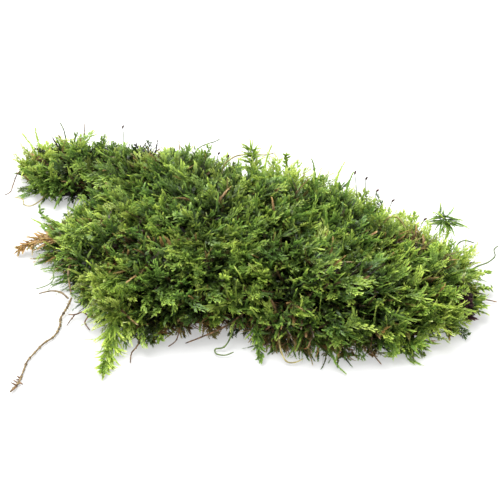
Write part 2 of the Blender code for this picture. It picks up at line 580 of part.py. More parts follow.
def rim_shoots(edge, strays):
    """Shoots round the edge in two tiers: a drooping lower tier and an upper one that stands at the back."""
    runs = []
    for place, outward in edge.stations(RIM_SHOOT_SPACING):
        over_dead_layer = place.y < 0 and SHOOTS_LIFTED[0] < place.x < SHOOTS_LIFTED[1]
        for tier in (0, 1):
            azimuth = math.atan2(outward.y, outward.x) + random_source.gauss(0, SHOOT_SPREAD)
            length = random_source.uniform(*RIM_SHOOT_LENGTH)
            radius = SHOOT_RADIUS * random_source.uniform(*SHOOT_RADIUS_RANGE)
            root = place - outward * RIM_SHOOT_INSET * (1 + tier)
            if tier == 1:
                rises = RIM_BACK_RISE if place.y > BACK_RIM_Y else RIM_FRONT_RISE
                height = mat_top(edge, root.x, root.y) - SHOOT_ROOT_DEPTH * 0.5
            elif over_dead_layer:
                rises = RIM_LIFTED_RISE
                height = DEAD_LAYER_TOP + SHOOT_LIFT
            else:
                rises = RIM_LOW_RISE
                height = RIM_HEIGHT * 0.5
            if bank_distance(place.x, place.y) < 1:
                rises = LOW_BANK_RISE
            rise = math.radians(random_source.uniform(*rises))
            run = shoot_run((root.x, root.y, height), azimuth, rise, length, radius)
            if not is_clear(run, strays):
                continue
            runs.append(run)
            if random_source.random() < SIDE_SHOOT_SHARE:
                runs.extend(pair for pair in side_runs(run) if is_clear(pair, strays))
    return runs


def make_dead_layer(collection, material):
    """The dead brown stems under the living shoots: a thin flat layer with stem ends along the front."""
    edge = Outline(DEAD_EDGE, 0.008)
    layer = outline_slab("dead_stem_layer", edge, 0.0, DEAD_LAYER_TOP, collection)
    runs = []
    for place, outward in edge.stations(DEAD_STEM_SPACING):
        if place.y > 0 or not DEAD_STEM_SHOWN[0] < place.x < DEAD_STEM_SHOWN[1]:
            continue
        turn = random_source.uniform(-DEAD_STEM_SPREAD, DEAD_STEM_SPREAD)
        azimuth = math.atan2(outward.y, outward.x) + turn
        along = Vector((math.cos(azimuth), math.sin(azimuth), 0.0))
        height = random_source.uniform(0.0014, DEAD_LAYER_TOP - 0.0012)
        root = Vector((place.x, place.y, height)) - along * DEAD_STEM_LENGTH * 0.4
        reach = DEAD_STEM_LENGTH * random_source.uniform(0.6, 1.1)
        tip = root + along * reach
        tip.z = max(DEAD_STEM_RADIUS + 0.0002, height - 0.0012)
        runs.append([(root, DEAD_STEM_RADIUS), (root.lerp(tip, 0.6), DEAD_STEM_RADIUS), (tip, 0.0002)])
    boolean(layer, tubes("dead_stem_ends", runs, 4, collection), "UNION")
    keep_largest_body(layer)
    layer.data.materials.clear()
    layer.data.materials.append(material)
    return layer


def fuse(obj, others, voxel, triangles):
    """Joins closed meshes that overlap into one body with even faces, then thins its faces."""
    sheet = bmesh.new()
    for part in (obj, *others):
        sheet.from_mesh(part.data)
    sheet.to_mesh(obj.data)
    sheet.free()
    for part in others:
        bpy.data.objects.remove(part, do_unlink=True)
    remesh = obj.modifiers.new("One body", "REMESH")
    remesh.mode = "VOXEL"
    remesh.voxel_size = voxel
    apply_modifiers(obj)
    keep_largest_body(obj)
    thin_faces(obj, triangles)


def make_cushion(edge, collection):
    """The cushion without its shoots: a slab of the mat's outline with its upper side raised to height."""
    cushion = outline_slab("moss_mat", edge, 0.0, SLAB_HEIGHT, collection)
    remesh = cushion.modifiers.new("Even faces", "REMESH")
    remesh.mode = "VOXEL"
    remesh.voxel_size = SLAB_HEIGHT / 4
    apply_modifiers(cushion)
    for vertex in cushion.data.vertices:
        share = min(1.0, max(0.0, 1.5 * vertex.co.z / SLAB_HEIGHT - 0.25))
        top = mat_top(edge, vertex.co.x, vertex.co.y)
        vertex.co.z = MAT_UNDERSIDE + (top - MAT_UNDERSIDE) * share
    return cushion


def make_mat(edge, strays, neighbours, collection, material):
    """The living mat in one body: the cushion, cut to leave room for its neighbours, and its shoots."""
    mat = make_cushion(edge, collection)
    for neighbour in neighbours:
        boolean(mat, swollen_copy(neighbour, NEIGHBOUR_ROOM, collection), "DIFFERENCE")
    keep_largest_body(mat)
    runs = top_shoots(edge, strays) + rim_shoots(edge, strays)
    fuse(mat, [tubes("mat_shoots", runs, 6, collection)], MAT_VOXEL, MAT_TRIANGLES)
    mat.data.materials.clear()
    mat.data.materials.append(material)
    return mat


def width_at(profile, share):
    """A piece's relative width at a share of its length."""
    return float(np.interp(share, [place for place, _ in profile], [width for _, width in profile]))


def is_inside(tree, place):
    """Whether a place is inside a closed surface, so that a ray from it crosses the surface an odd
    number of times."""
    crossings = 0
    hit = tree.ray_cast(place, RAY)[0]
    while hit is not None:
        crossings += 1
        hit = tree.ray_cast(hit + RAY * 0.00001, RAY)[0]
    return crossings % 2 == 1


def is_free(place, radius, solids):
    """Whether a ball round a place keeps the gap to every solid."""
    room = radius + GAP
    return not any(tree.find_nearest(place, room)[0] or is_inside(tree, place) for tree in solids)


def longest_free_stretch(route, radius, solids):
    """The longest run of a route's points that stays clear of every solid so far."""
    best, current = [], []
    for place in route:
        current = current + [place] if is_free(place, radius, solids) else []
        if len(current) > len(best):
            best = current
    return best


def tapered_run(route, radius, profile, step=LOOSE_STEP):
    """A route thinned to about the given step, with the profile's radius at each point."""
    lengths = [0.0]
    for a, b in zip(route, route[1:]):
        lengths.append(lengths[-1] + (b - a).length)
    parts = max(2, round(lengths[-1] / step))
    marks = sorted({i / parts for i in range(parts + 1)} | {place for place, _ in profile[-2:]})
    run = []
    for mark in marks:
        along = mark * lengths[-1]
        place = Vector([float(np.interp(along, lengths, [p[axis] for p in route])) for axis in range(3)])
        run.append((place, radius * width_at(profile, mark)))
    return run


def side_branches(route, radius, pairs, length, solids):
    """Pairs of branches set along a frond and pointing forwards, shorter towards its tip."""
    runs = []
    for i in range(pairs):
        share = BRANCHES_FROM + (BRANCHES_TO - BRANCHES_FROM) * i / max(1, pairs - 1)
        index = min(len(route) - 2, int(share * len(route)))
        ahead = (route[index + 1] - route[index]).normalized()
        aside = ahead.cross(Vector((0, 0, 1))).normalized()
        for sign in (-1, 1):
            reach = length * (1 - BRANCH_TAPER * share)
            heading = ahead * BRANCH_AHEAD + aside * sign * BRANCH_ASIDE + Vector((0, 0, BRANCH_UP))
            heading.normalize()
            start = route[index] - heading * radius * 0.3
            end = start + heading * reach
            end.z = max(end.z, radius + FLOOR_GAP)
            samples = [start.lerp(end, check / BRANCH_CHECKS) for check in range(BRANCH_CHECKS + 1)]
            if all(is_free(place, radius * 0.8, solids) for place in samples):
                middle = start.lerp(end, 0.55) - Vector((0, 0, 0.0002))
                runs.append([(start, radius * 0.45), (middle, radius * 0.72), (end, radius * 0.1)])
    return runs


def spore_capsule(name, stalk_end, heading, collection):
    """A long dark capsule that leans over at the end of its stalk."""
    sheet = bmesh.new()
    bmesh.ops.create_uvsphere(sheet, u_segments=6, v_segments=4, radius=1.0)
    half = CAPSULE_LENGTH / 2
    size = Matrix.Diagonal((CAPSULE_RADIUS, CAPSULE_RADIUS, half, 1.0))
    turn = heading.to_track_quat("Z", "Y").to_matrix().to_4x4()
    middle = stalk_end + heading * half * 0.7
    bmesh.ops.transform(sheet, matrix=Matrix.Translation(middle) @ turn @ size, verts=sheet.verts)
    mesh = bpy.data.meshes.new(name)
    sheet.to_mesh(mesh)
    sheet.free()
    return link_mesh(name, mesh, collection)


def make_loose_piece(name, solids, collection, materials):
    """One loose frond, shoot, stem or stalk, cut back to the stretch that is clear of the other pieces."""
    kind, material, radius, points, *branching = LOOSE_PIECES[name]
    profile = PROFILES[kind]
    widest = max(width for _, width in profile)
    route = smooth_route(points)
    for place in route:
        place.z = max(place.z, radius * widest + FLOOR_GAP)
    route = longest_free_stretch(route, radius * widest, solids)
    piece = tubes(name, [tapered_run(route, radius, profile)], 4, collection)
    piece.data.materials.append(materials[material])
    if kind == "frond":
        for run in side_branches(route, radius, *branching, solids):
            boolean(piece, tubes(name + "_side", [run], 4, collection), "UNION", "MANIFOLD")
        keep_largest_body(piece)
    if kind == "stalk":
        heading = (route[-1] - route[-3]).normalized()
        turned = random_source.uniform(0, math.tau)
        bent = Vector((math.cos(turned), math.sin(turned), 0.35))
        capsule = spore_capsule(name + "_capsule", route[-1], (heading * 0.3 + bent).normalized(), collection)
        capsule.data.materials.append(materials["dark spore capsule"])
        boolean(piece, capsule, "UNION", "MANIFOLD")
        keep_largest_body(piece)
    return piece


def make_dark_clump(collection, material):
    """The tangle of dark leaves as a lumpy low mound."""
    sheet = bmesh.new()
    bmesh.ops.create_icosphere(sheet, subdivisions=2, radius=1.0)
    for vertex in sheet.verts:
        vertex.co *= 1 + 0.35 * noise.noise(vertex.co * 1.7)
        vertex.co = Vector(a * b for a, b in zip(vertex.co, DARK_CLUMP_RADII)) + Vector(DARK_CLUMP_MIDDLE)
        vertex.co.z = max(vertex.co.z, SHOOT_FLOOR)
    mesh = bpy.data.meshes.new("dark_leaf_clump")
    sheet.to_mesh(mesh)
    sheet.free()
    mesh.materials.append(material)
    return link_mesh("dark_leaf_clump", mesh, collection)


def surface_tree(obj):
    """The surface of an object, for measuring distances to it."""
    sheet = bmesh.new()
    sheet.from_mesh(obj.data)
    tree = BVHTree.FromBMesh(sheet)
    sheet.free()
    return tree


def loose_room(edge):
    """The places that the mat's shoots leave free: the loose pieces' routes outside the cushion."""
    places = []
    for _, _, _, points, *_ in LOOSE_PIECES.values():
        for place in smooth_route(points):
            if edge.distance(place.x, place.y) < 0 or place.z > mat_top(edge, place.x, place.y):
                places.append(place)
    middle = Vector(DARK_CLUMP_MIDDLE)
    for turn in range(24):
        angle = math.tau * turn / 24
        ring = Vector((math.cos(angle) * DARK_CLUMP_RADII[0], math.sin(angle) * DARK_CLUMP_RADII[1], 0.0))
        places.extend(middle + ring * share for share in (0.3, 0.7, 1.0))
    tree = kdtree.KDTree(len(places))
    for index, place in enumerate(places):
        tree.insert(place, index)
    tree.balance()
    return tree


def centre_on_origin(collection):
    """Puts the middle of the clump's footprint over the origin, through a parent empty."""
    empty = bpy.data.objects.new("moss_clump_origin", None)
    collection.objects.link(empty)
    nodes = [obj for obj in collection.objects if obj.type == "MESH"]
    places = [vertex.co for obj in nodes for vertex in obj.data.vertices]
    low = [min(place[axis] for place in places) for axis in range(3)]
    high = [max(place[axis] for place in places) for axis in range(3)]
    empty.location = (-(low[0] + high[0]) / 2, -(low[1] + high[1]) / 2, -low[2])
    for obj in nodes:
        obj.parent = empty
    bpy.context.view_layer.update()


def main():
    clear_scene()
    clump = make_collection("moss_clump")
    materials = {name: make_material(name, *look) for name, look in MATERIALS.items()}
    edge = Outline(MAT_EDGE, 0.004)
    dead_layer = make_dead_layer(clump, materials["dead brown stem"])
    dark_clump = make_dark_clump(clump, materials["dark purple moss"])
    mat = make_mat(edge, loose_room(edge), (dead_layer, dark_clump), clump, materials["living moss"])
    solids = [surface_tree(obj) for obj in (mat, dead_layer, dark_clump)]
    for name in LOOSE_PIECES:
        piece = make_loose_piece(name, solids, clump, materials)
        solids.append(surface_tree(piece))
    centre_on_origin(clump)


main()
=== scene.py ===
# %% [markdown]
# # A clump of feather moss
#
# The real thing is a flat mat of moss, about as long as a hand and a half, lifted off the ground in one
# piece. What the eye sees is thousands of thin shoots, each clad in tiny overlapping leaves, lying over
# each other like thatch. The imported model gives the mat's form as a plain solid. This lesson dresses it.

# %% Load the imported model
import math

import bpy
import numpy as np
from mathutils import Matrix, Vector, noise
from mathutils.bvhtree import BVHTree


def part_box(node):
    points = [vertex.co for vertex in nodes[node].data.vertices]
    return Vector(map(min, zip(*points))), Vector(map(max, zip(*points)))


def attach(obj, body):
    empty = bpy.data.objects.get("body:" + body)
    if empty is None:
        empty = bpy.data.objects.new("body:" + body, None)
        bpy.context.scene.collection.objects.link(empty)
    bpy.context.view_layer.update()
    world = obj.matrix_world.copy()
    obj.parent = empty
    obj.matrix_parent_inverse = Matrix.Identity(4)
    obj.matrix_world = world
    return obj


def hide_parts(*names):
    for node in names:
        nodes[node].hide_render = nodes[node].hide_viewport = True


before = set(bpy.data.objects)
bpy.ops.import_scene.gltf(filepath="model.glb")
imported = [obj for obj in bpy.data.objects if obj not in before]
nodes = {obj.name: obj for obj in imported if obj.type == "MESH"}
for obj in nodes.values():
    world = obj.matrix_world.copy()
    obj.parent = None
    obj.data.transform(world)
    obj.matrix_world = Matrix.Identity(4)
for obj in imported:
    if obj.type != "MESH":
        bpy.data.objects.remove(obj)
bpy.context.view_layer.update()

# %% [markdown]
# The routes below are written from the mat's own centre, in millimetres, as they were measured. The packed
# model has its origin under the middle of the whole clump, so everything shifts by the same small step.
# The tip of the long rootlet is the clump's lowest corner in plan, and it shows how far.

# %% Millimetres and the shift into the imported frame
MM = 0.001
ROOTLET_TIP = (-107.0, -95.0)
ROOTLET_TIP_RADIUS = 0.5

rootlet_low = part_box("long_rootlet")[0]
SHIFT = Vector((
    rootlet_low.x - (ROOTLET_TIP[0] - ROOTLET_TIP_RADIUS) * MM,
    rootlet_low.y - (ROOTLET_TIP[1] - ROOTLET_TIP_RADIUS) * MM,
    0.0,
))
FLOOR = 0.35 * MM
rng = np.random.default_rng(5)
print("shift in mm:", [round(value / MM, 2) for value in SHIFT])

# %% [markdown]
# ## The camera
#
# The photograph looks down at the clump from its front edge, at about 35 degrees above level, with a long
# lens. It aims at a point 12 mm above the mat's centre, and at 0.72 m the clump then fills the frame as it
# does there. The depth of field stays off.

# %% Camera
CAMERA_HEIGHT_ANGLE = math.radians(35)
CAMERA_DISTANCE = 0.72
CAMERA_LENS = 104.7
CAMERA_TARGET = Vector((SHIFT.x, SHIFT.y, 12 * MM))

camera = bpy.data.objects.new("camera", bpy.data.cameras.new("camera"))
camera.data.lens = CAMERA_LENS
camera.data.sensor_width = 36.0
backwards = Vector((0.0, -math.cos(CAMERA_HEIGHT_ANGLE), math.sin(CAMERA_HEIGHT_ANGLE)))
camera.location = CAMERA_TARGET + backwards * CAMERA_DISTANCE
camera.rotation_euler = (-backwards).to_track_quat("-Z", "Y").to_euler()
bpy.context.scene.collection.objects.link(camera)
bpy.context.scene.camera = camera
print("camera at", [round(value, 3) for value in camera.location])

# %% [markdown]
# ## Materials
#
# Colours are written as the sRGB hex values that a colour picker shows, and one function turns them into
# the linear numbers that a shader needs. One small function adds a node with its settings and links.

# %% Colour and node helpers
def linear(hex_colour):
    """An sRGB hex colour as linear red, green, blue and alpha."""
    parts = [int(hex_colour[i:i + 2], 16) / 255 for i in (1, 3, 5)]
    return [p / 12.92 if p <= 0.04045 else ((p + 0.055) / 1.055) ** 2.4 for p in parts] + [1.0]


def new_material(name):
    """A material with an empty tree and an output."""
    material = bpy.data.materials.new(name)
    material.use_nodes = True
    material.node_tree.nodes.clear()
    return material


def add(material, kind, links=None, inputs=None, stops=(), **settings):
    """Adds a node: the sockets that feed it, its fixed inputs, a ramp's colour stops and its settings."""
    node = material.node_tree.nodes.new("ShaderNode" + kind)
    for name, value in settings.items():
        setattr(node, name, value)
    for name, value in (inputs or {}).items():
        node.inputs[name].default_value = value
    for name, source in (links or {}).items():
        material.node_tree.links.new(source, node.inputs[name])
    for i, (place, colour) in enumerate(stops):
        element = node.color_ramp.elements[0] if i == 0 else node.color_ramp.elements.new(place)
        element.position = place
        element.color = linear(colour)
    if stops:
        node.color_ramp.elements.remove(node.color_ramp.elements[-1])
    return node


print("helpers ready, mid green is", [round(value, 3) for value in linear("#4F8A2B")[:3]])

# %% [markdown]
# ### Moss leaf
#
# A moss leaf is one cell thick, so it is soft and a little waxy, and light comes through it: the rim glows
# where it is lit from behind. Its colour follows its age. Dead leaves are brown to rusty, old shaded ones
# are dark olive, grown ones are green, and this year's tips are yellow green. So every leaf carries a map
# whose first axis is its age and whose second is how light it is, which holds its own tone together with
# painted shade and painted light, and the material reads both. A fine mottle on the same map makes
# neighbouring leaves differ.

# %% Moss leaf material
LEAF_MAP = "OFBake"
LEAF_AGES = (
    (0.00, "#15110A"), (0.10, "#54452C"), (0.20, "#BA9660"), (0.27, "#958A4E"), (0.36, "#4A562C"),
    (0.48, "#5C8038"), (0.62, "#88A94A"), (0.78, "#B8CC5A"), (0.90, "#D2DE7E"), (0.99, "#E8EEB8"),
)
LEAF_DARKEST, LEAF_LIGHTEST = 0.012, 1.8
# the mottle's hills over the whole map, and how much they darken and lighten a leaf
LEAF_MOTTLE_SCALE = 60.0
LEAF_MOTTLE = (0.80, 1.15)
LIGHT_THROUGH_LEAF = 0.42
LEAF_ROUGHNESS = 0.34
PLANT_IOR = 1.45


def make_leaf_material(name, ages):
    """A leaf that takes its colour from its age and its lightness on the map, and lets light through."""
    material = new_material(name)
    place = add(material, "UVMap", uv_map=LEAF_MAP)
    axes = add(material, "SeparateXYZ", {"Vector": place.outputs["UV"]})
    age = add(material, "ValToRGB", {"Fac": axes.outputs["X"]}, stops=ages)
    light = add(material, "MapRange", {"Value": axes.outputs["Y"]},
                {"To Min": LEAF_DARKEST, "To Max": LEAF_LIGHTEST})
    mottle = add(material, "TexNoise", {"Vector": place.outputs["UV"]}, {"Scale": LEAF_MOTTLE_SCALE})
    uneven = add(material, "MapRange", {"Value": mottle.outputs["Fac"]},
                 {"From Min": 0.3, "From Max": 0.7, "To Min": LEAF_MOTTLE[0], "To Max": LEAF_MOTTLE[1]})
    strength = add(material, "Math", {0: light.outputs["Result"], 1: uneven.outputs["Result"]},
                   operation="MULTIPLY")
    colour = add(material, "VectorMath", {0: age.outputs["Color"], "Scale": strength.outputs["Value"]},
                 operation="SCALE")
    front = add(material, "BsdfPrincipled", {"Base Color": colour.outputs["Vector"]},
                {"Roughness": LEAF_ROUGHNESS, "IOR": PLANT_IOR})
    through = add(material, "BsdfTranslucent", {"Color": colour.outputs["Vector"]})
    both = add(material, "MixShader", {1: front.outputs["BSDF"], 2: through.outputs["BSDF"]},
               {"Fac": LIGHT_THROUGH_LEAF})
    add(material, "OutputMaterial", {"Surface": both.outputs["Shader"]})
    return material


leaf_material = make_leaf_material("moss leaf", LEAF_AGES)
print("made", leaf_material.name)

# %% [markdown]
# ### Stems, spore capsules and the shaded ground of the mat
#
# A dead stem is dry and matt, and its bark colour changes every few millimetres. A ripe spore capsule is
# hard, smooth and nearly black red. Deep in the mat, old stems and soil make a rough ground, dark of its
# own and painted near black for the deep shade there, which shows between the shoots as the darkest spots.

# %% Stem, capsule and ground materials
def make_rough_material(name, colours, patch_mm, roughness, bump_mm):
    """A dry natural surface: patches between colours, patch_mm across, with a rough grain."""
    material = new_material(name)
    place = add(material, "TexCoord").outputs["Object"]
    patches = add(material, "TexNoise", {"Vector": place}, {"Scale": 1 / (patch_mm * MM), "Detail": 3.0})
    stops = [(0.3 + 0.4 * i / (len(colours) - 1), colour) for i, colour in enumerate(colours)]
    shade = add(material, "ValToRGB", {"Fac": patches.outputs["Fac"]}, stops=stops)
    links = {"Base Color": shade.outputs["Color"]}
    if bump_mm:
        grain = add(material, "TexNoise", {"Vector": place}, {"Scale": 3 / (patch_mm * MM), "Detail": 4.0})
        bump = add(material, "Bump", {"Height": grain.outputs["Fac"]},
                   {"Strength": 0.6, "Distance": bump_mm * MM})
        links["Normal"] = bump.outputs["Normal"]
    surface = add(material, "BsdfPrincipled", links, {"Roughness": roughness, "IOR": PLANT_IOR})
    add(material, "OutputMaterial", {"Surface": surface.outputs["BSDF"]})
    return material


STEM_GRAIN = 0.08
# look: name, colours from dark to light, size of its patches in mm, roughness
STEM_LOOKS = {
    "green": ("young green moss stem", ("#3A4A24", "#5B6E36", "#7C8C4E"), 2.5, 0.55),
    "brown": ("dead brown moss stem", ("#33241A", "#64492F", "#97754E"), 1.8, 0.80),
    "rust": ("rusty dead moss stem", ("#64401F", "#A87445", "#CDA06C"), 1.8, 0.75),
    "tan": ("weathered tan rootlet", ("#3E3020", "#6E5C3E", "#988660"), 1.6, 0.75),
    "straw": ("dry straw coloured stem", ("#746A3E", "#9C9058", "#C2B982"), 2.2, 0.65),
    "young": ("new yellow green stem", ("#7E9A38", "#A4BC56", "#C2D07C"), 2.5, 0.50),
    "living": ("shaded green stem", ("#3E5C22", "#5E7F30", "#7C9446"), 2.5, 0.55),
}
stem_materials = {look: make_rough_material(*finish, STEM_GRAIN) for look, finish in STEM_LOOKS.items()}
capsule_material = make_rough_material("ripe spore capsule", ("#1C0B08", "#3A1710", "#55251A"),
                                       patch_mm=1.2, roughness=0.35, bump_mm=0)
# painted shade: the ground's near-black colours stand for the deep shade inside the mat
ground_material = make_rough_material("peaty ground in painted shade", ("#070604", "#130F08", "#221A0D"),
                                      patch_mm=2.2, roughness=0.95, bump_mm=0.5)
print("made", len(stem_materials) + 2, "more materials")

# %% [markdown]
# ## The form under the shoots
#
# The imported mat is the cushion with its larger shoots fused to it. For the fine shoots we want the cushion
# alone: where its edge is, and how high it is. Rays from above give the height on a grid. The lowest height
# within a few millimetres then wipes out the single shoots, and a blur makes it smooth again.

# %% Height of the cushion
GRID = 1.5 * MM
SHOOT_FILTER = 3

mat_mesh = nodes["moss_mat"].data
mat_tree = BVHTree.FromPolygons([v.co for v in mat_mesh.vertices], [p.vertices for p in mat_mesh.polygons])
mat_low, mat_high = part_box("moss_mat")
grid_x = np.arange(mat_low.x - 4 * GRID, mat_high.x + 5 * GRID, GRID)
grid_y = np.arange(mat_low.y - 4 * GRID, mat_high.y + 5 * GRID, GRID)


def shifted(field, i, j, fill):
    """A field moved by whole cells, with the given fill where it came from outside."""
    out = np.full_like(field, fill)
    nx, ny = field.shape
    out[max(i, 0):nx + min(i, 0), max(j, 0):ny + min(j, 0)] = field[
        max(-i, 0):nx + min(-i, 0), max(-j, 0):ny + min(-j, 0)]
    return out


def round_filter(field, cells, choose, fill):
    """The lowest or highest value within a round window."""
    out = field.copy()
    for i in range(-cells, cells + 1):
        for j in range(-cells, cells + 1):
            if i * i + j * j <= cells * cells + 1:
                out = choose(out, shifted(field, i, j, fill))
    return out


def blurred(field, weight, cells, rounds):
    """A box blur that reads only the cells with weight."""
    for _ in range(rounds):
        total = np.zeros_like(field)
        count = np.zeros_like(field)
        for i in range(-cells, cells + 1):
            for j in range(-cells, cells + 1):
                total += shifted(field * weight, i, j, 0.0)
                count += shifted(weight, i, j, 0.0)
        field = np.where(count > 0, total / np.maximum(count, 1e-9), field)
    return field


def ray_heights():
    """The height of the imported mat's upper surface on the grid, and no number beside it."""
    heights = np.full((len(grid_x), len(grid_y)), np.nan)
    down = Vector((0.0, 0.0, -1.0))
    for i, x in enumerate(grid_x):
        for j, y in enumerate(grid_y):
            hit = mat_tree.ray_cast(Vector((x, y, mat_high.z + 0.01)), down)[0]
            if hit is not None:
                heights[i, j] = hit.z
    return heights


surface = ray_heights()
covered = (~np.isnan(surface)).astype(float)
body = round_filter(round_filter(covered, SHOOT_FILTER, np.minimum, 0.0), SHOOT_FILTER, np.maximum, 0.0)
lowest = round_filter(np.where(body > 0, np.nan_to_num(surface, nan=1.0), 1.0), SHOOT_FILTER, np.minimum, 1.0)
cushion = blurred(np.where(body > 0, lowest, 0.0), (body > 0) * (lowest < 1.0) * 1.0, 2, 2)
edge_cells = np.argwhere((body > 0) & (round_filter(body, 1, np.minimum, 0.0) == 0))
edge_places = np.stack([grid_x[edge_cells[:, 0]], grid_y[edge_cells[:, 1]]], 1)
print("cushion", round(float(cushion[body > 0].min() / MM), 1), "to",
      round(float(cushion[body > 0].max() / MM), 1), "mm high,", int(body.sum()), "cells")

# %% [markdown]
# A shoot that is placed at any point has to know its height, how far in from the edge it is and which way
# is out. These functions read that from the grid, and tell how near a point is to a named place.

# %% Reading the form at any place
def read_grid(field, x, y):
    """The value of a grid field at plan places, between its cells."""
    u = np.clip((x - grid_x[0]) / GRID, 0, len(grid_x) - 1.001)
    v = np.clip((y - grid_y[0]) / GRID, 0, len(grid_y) - 1.001)
    i, j = u.astype(int), v.astype(int)
    a, b = u - i, v - j
    return ((field[i, j] * (1 - a) + field[i + 1, j] * a) * (1 - b)
            + (field[i, j + 1] * (1 - a) + field[i + 1, j + 1] * a) * b)


def edge_distance(x, y):
    """How far plan places are from the cushion's edge, and the direction from them to it."""
    offset = edge_places[None, :, :] - np.stack([x, y], 1)[:, None, :]
    far = np.hypot(offset[..., 0], offset[..., 1])
    nearest = far.argmin(1)
    rows = np.arange(len(x))
    towards = offset[rows, nearest]
    return far[rows, nearest], np.arctan2(towards[:, 1], towards[:, 0])


def radii_from(x, y, middle, radius):
    """How far plan places are from a middle given in millimetres, in radii."""
    return np.hypot(x - middle[0] * MM - SHIFT.x, y - middle[1] * MM - SHIFT.y) / (radius * MM)


def soft_noise(x, y, size_mm, layer):
    """Smooth noise from -1 to 1 with hills about size_mm across."""
    scale = 1 / (size_mm * MM)
    return np.array([noise.noise(Vector((a * scale, b * scale, layer))) for a, b in zip(x, y)]) * 1.6


print("plan area", round(body.sum() * (GRID / MM) ** 2 / 100), "square cm")

# %% [markdown]
# ## Leaves and shoots
#
# One leaf is a diamond folded along its middle: four points and two triangles, which is enough at half a
# millimetre wide. A pattern shoot is a list of leaves round a thin stem. Each point of the pattern is kept
# as a share of the shoot's length and an offset in millimetres, so that one pattern can be laid along any
# length and any bend. Four kinds are needed: a leafy sprig, a plainer one for deep in the mat, a long thin
# whip, and a small feather with side branches.

# %% A pattern to collect leaves in
LEAF_WIDEST = 0.42
LEAF_FOLD = 0.30


class Pattern:
    """Leaves and stems of one shoot. Offsets are along, aside and up, in millimetres."""

    def __init__(self):
        self.share, self.offset, self.faces, self.growth, self.lightness = [], [], [], [], []

    def add_points(self, share, offsets, growth, lightness):
        first = len(self.share)
        for place, light in zip(offsets, lightness):
            self.share.append(share)
            self.offset.append(place)
            self.growth.append(growth)
            self.lightness.append(light)
        return first

    def leaf(self, share, start, heading, up, length, half_width, growth):
        """A folded diamond leaf: dark at its foot, which is painted shade, and light at its tip."""
        aside = np.cross(up, heading)
        middle = start + heading * length * LEAF_WIDEST + up * half_width * LEAF_FOLD
        tip = start + heading * length
        points = [start, middle + aside * half_width, tip, middle - aside * half_width]
        first = self.add_points(share, points, growth, (0.42, 0.84, 1.0, 0.84))
        self.faces.append((first, first + 2, first + 1))
        self.faces.append((first, first + 3, first + 2))

    def blade(self, share, start, heading, up, length, half_width, growth):
        """A flat leaf of one triangle, widest at its foot, for shoots deep in the mat."""
        aside = np.cross(up, heading)
        points = [start - aside * half_width, start + heading * length, start + aside * half_width]
        # painted shade: darker at the leaf's foot
        first = self.add_points(share, points, growth, (0.45, 1.0, 0.55))
        self.faces.append((first, first + 2, first + 1))

    def stem(self, shares, foot, tip, radius, growth):
        """A three-sided stem from foot to tip."""
        rings = []
        for share, centre, size in ((shares[0], foot, radius), (shares[1], tip, radius * 0.5)):
            ring = [centre + size * np.array((0.0, math.cos(a), math.sin(a))) for a in (0.5, 2.6, 4.7)]
            rings.append(self.add_points(share, ring, growth, (0.5, 0.55, 0.6)))
        for k in range(3):
            a, b = rings[0] + k, rings[0] + (k + 1) % 3
            c, d = rings[1] + k, rings[1] + (k + 1) % 3
            self.faces.extend(((a, b, d), (a, d, c)))

    def finish(self):
        """The same pattern with its lists as arrays."""
        for name, values in vars(self).items():
            setattr(self, name, np.array(values))
        return self


def unit(vector):
    """A vector of length one in the same direction."""
    vector = np.asarray(vector, float)
    return vector / np.linalg.norm(vector)


print("a folded leaf is 4 points and 2 triangles, and a flat one 3 points and 1 triangle")

# %% [markdown]
# A sprig has leaves all round its stem, but most of them lie to its two sides, as on the real plant. A whip
# has more and smaller leaves, which stay close to the stem. Deep in the mat a leaf is one flat triangle,
# since little of it is seen.

# %% The sprig and the whip
# length and half width of a leaf in mm, number of leaves, and their widest spread in degrees
SPRIG_LEAF = (2.05, 0.42)
SPRIG_LEAVES = 20
SPRIG_SPREAD = 38
WHIP_LEAF = (1.75, 0.38)
WHIP_LEAVES = 26
WHIP_SPREAD = 24
# how many different ones there are of each
SPRIGS, WHIPS, DEEP_SPRIGS = 6, 3, 3


def make_sprig(leaves, leaf, widest_spread, folded=True):
    """A leafy sprig: leaves all round its stem, flattened to its two sides."""
    pattern = Pattern()
    pattern.stem((0.0, 0.92), np.zeros(3), np.zeros(3), 0.16, 0.3)
    put_leaf = pattern.leaf if folded else pattern.blade
    for i in range(leaves):
        share = 0.05 + 0.92 * i / (leaves - 1)
        side = 1 if i % 2 else -1
        round_stem = rng.normal(0.15, 0.4) if i % 3 else rng.normal(0.9, 0.3)
        spread = math.radians(rng.uniform(0.45, 1.0) * widest_spread * (1 - 0.4 * share))
        out = np.array((0.0, side * math.cos(round_stem), math.sin(round_stem)))
        heading = unit(np.array((math.cos(spread), 0, 0)) + out * math.sin(spread))
        up = unit(np.cross(heading, np.cross(np.array((0.0, 0.0, 1.0)) + rng.normal(0, 0.4, 3), heading)))
        size = (0.75 + 0.45 * math.sin(math.pi * min(1.0, share + 0.15))) * rng.uniform(0.85, 1.15)
        put_leaf(share, out * 0.08, heading, up, leaf[0] * size, leaf[1] * size, share)
    return pattern.finish()


sprigs = [make_sprig(SPRIG_LEAVES, SPRIG_LEAF, SPRIG_SPREAD) for _ in range(SPRIGS)]
whips = [make_sprig(WHIP_LEAVES, WHIP_LEAF, WHIP_SPREAD) for _ in range(WHIPS)]
deep_sprigs = [make_sprig(SPRIG_LEAVES, SPRIG_LEAF, SPRIG_SPREAD, False) for _ in range(DEEP_SPRIGS)]
print("a sprig has", len(sprigs[0].faces), "triangles, a deep one", len(deep_sprigs[0].faces),
      "and a whip", len(whips[0].faces))

# %% [markdown]
# A feather is how such a moss branches: a middle stem with short leafy branches to both sides, nearly in one
# plane. The branches bend forwards a little and get shorter towards the tip, which is leafy itself.

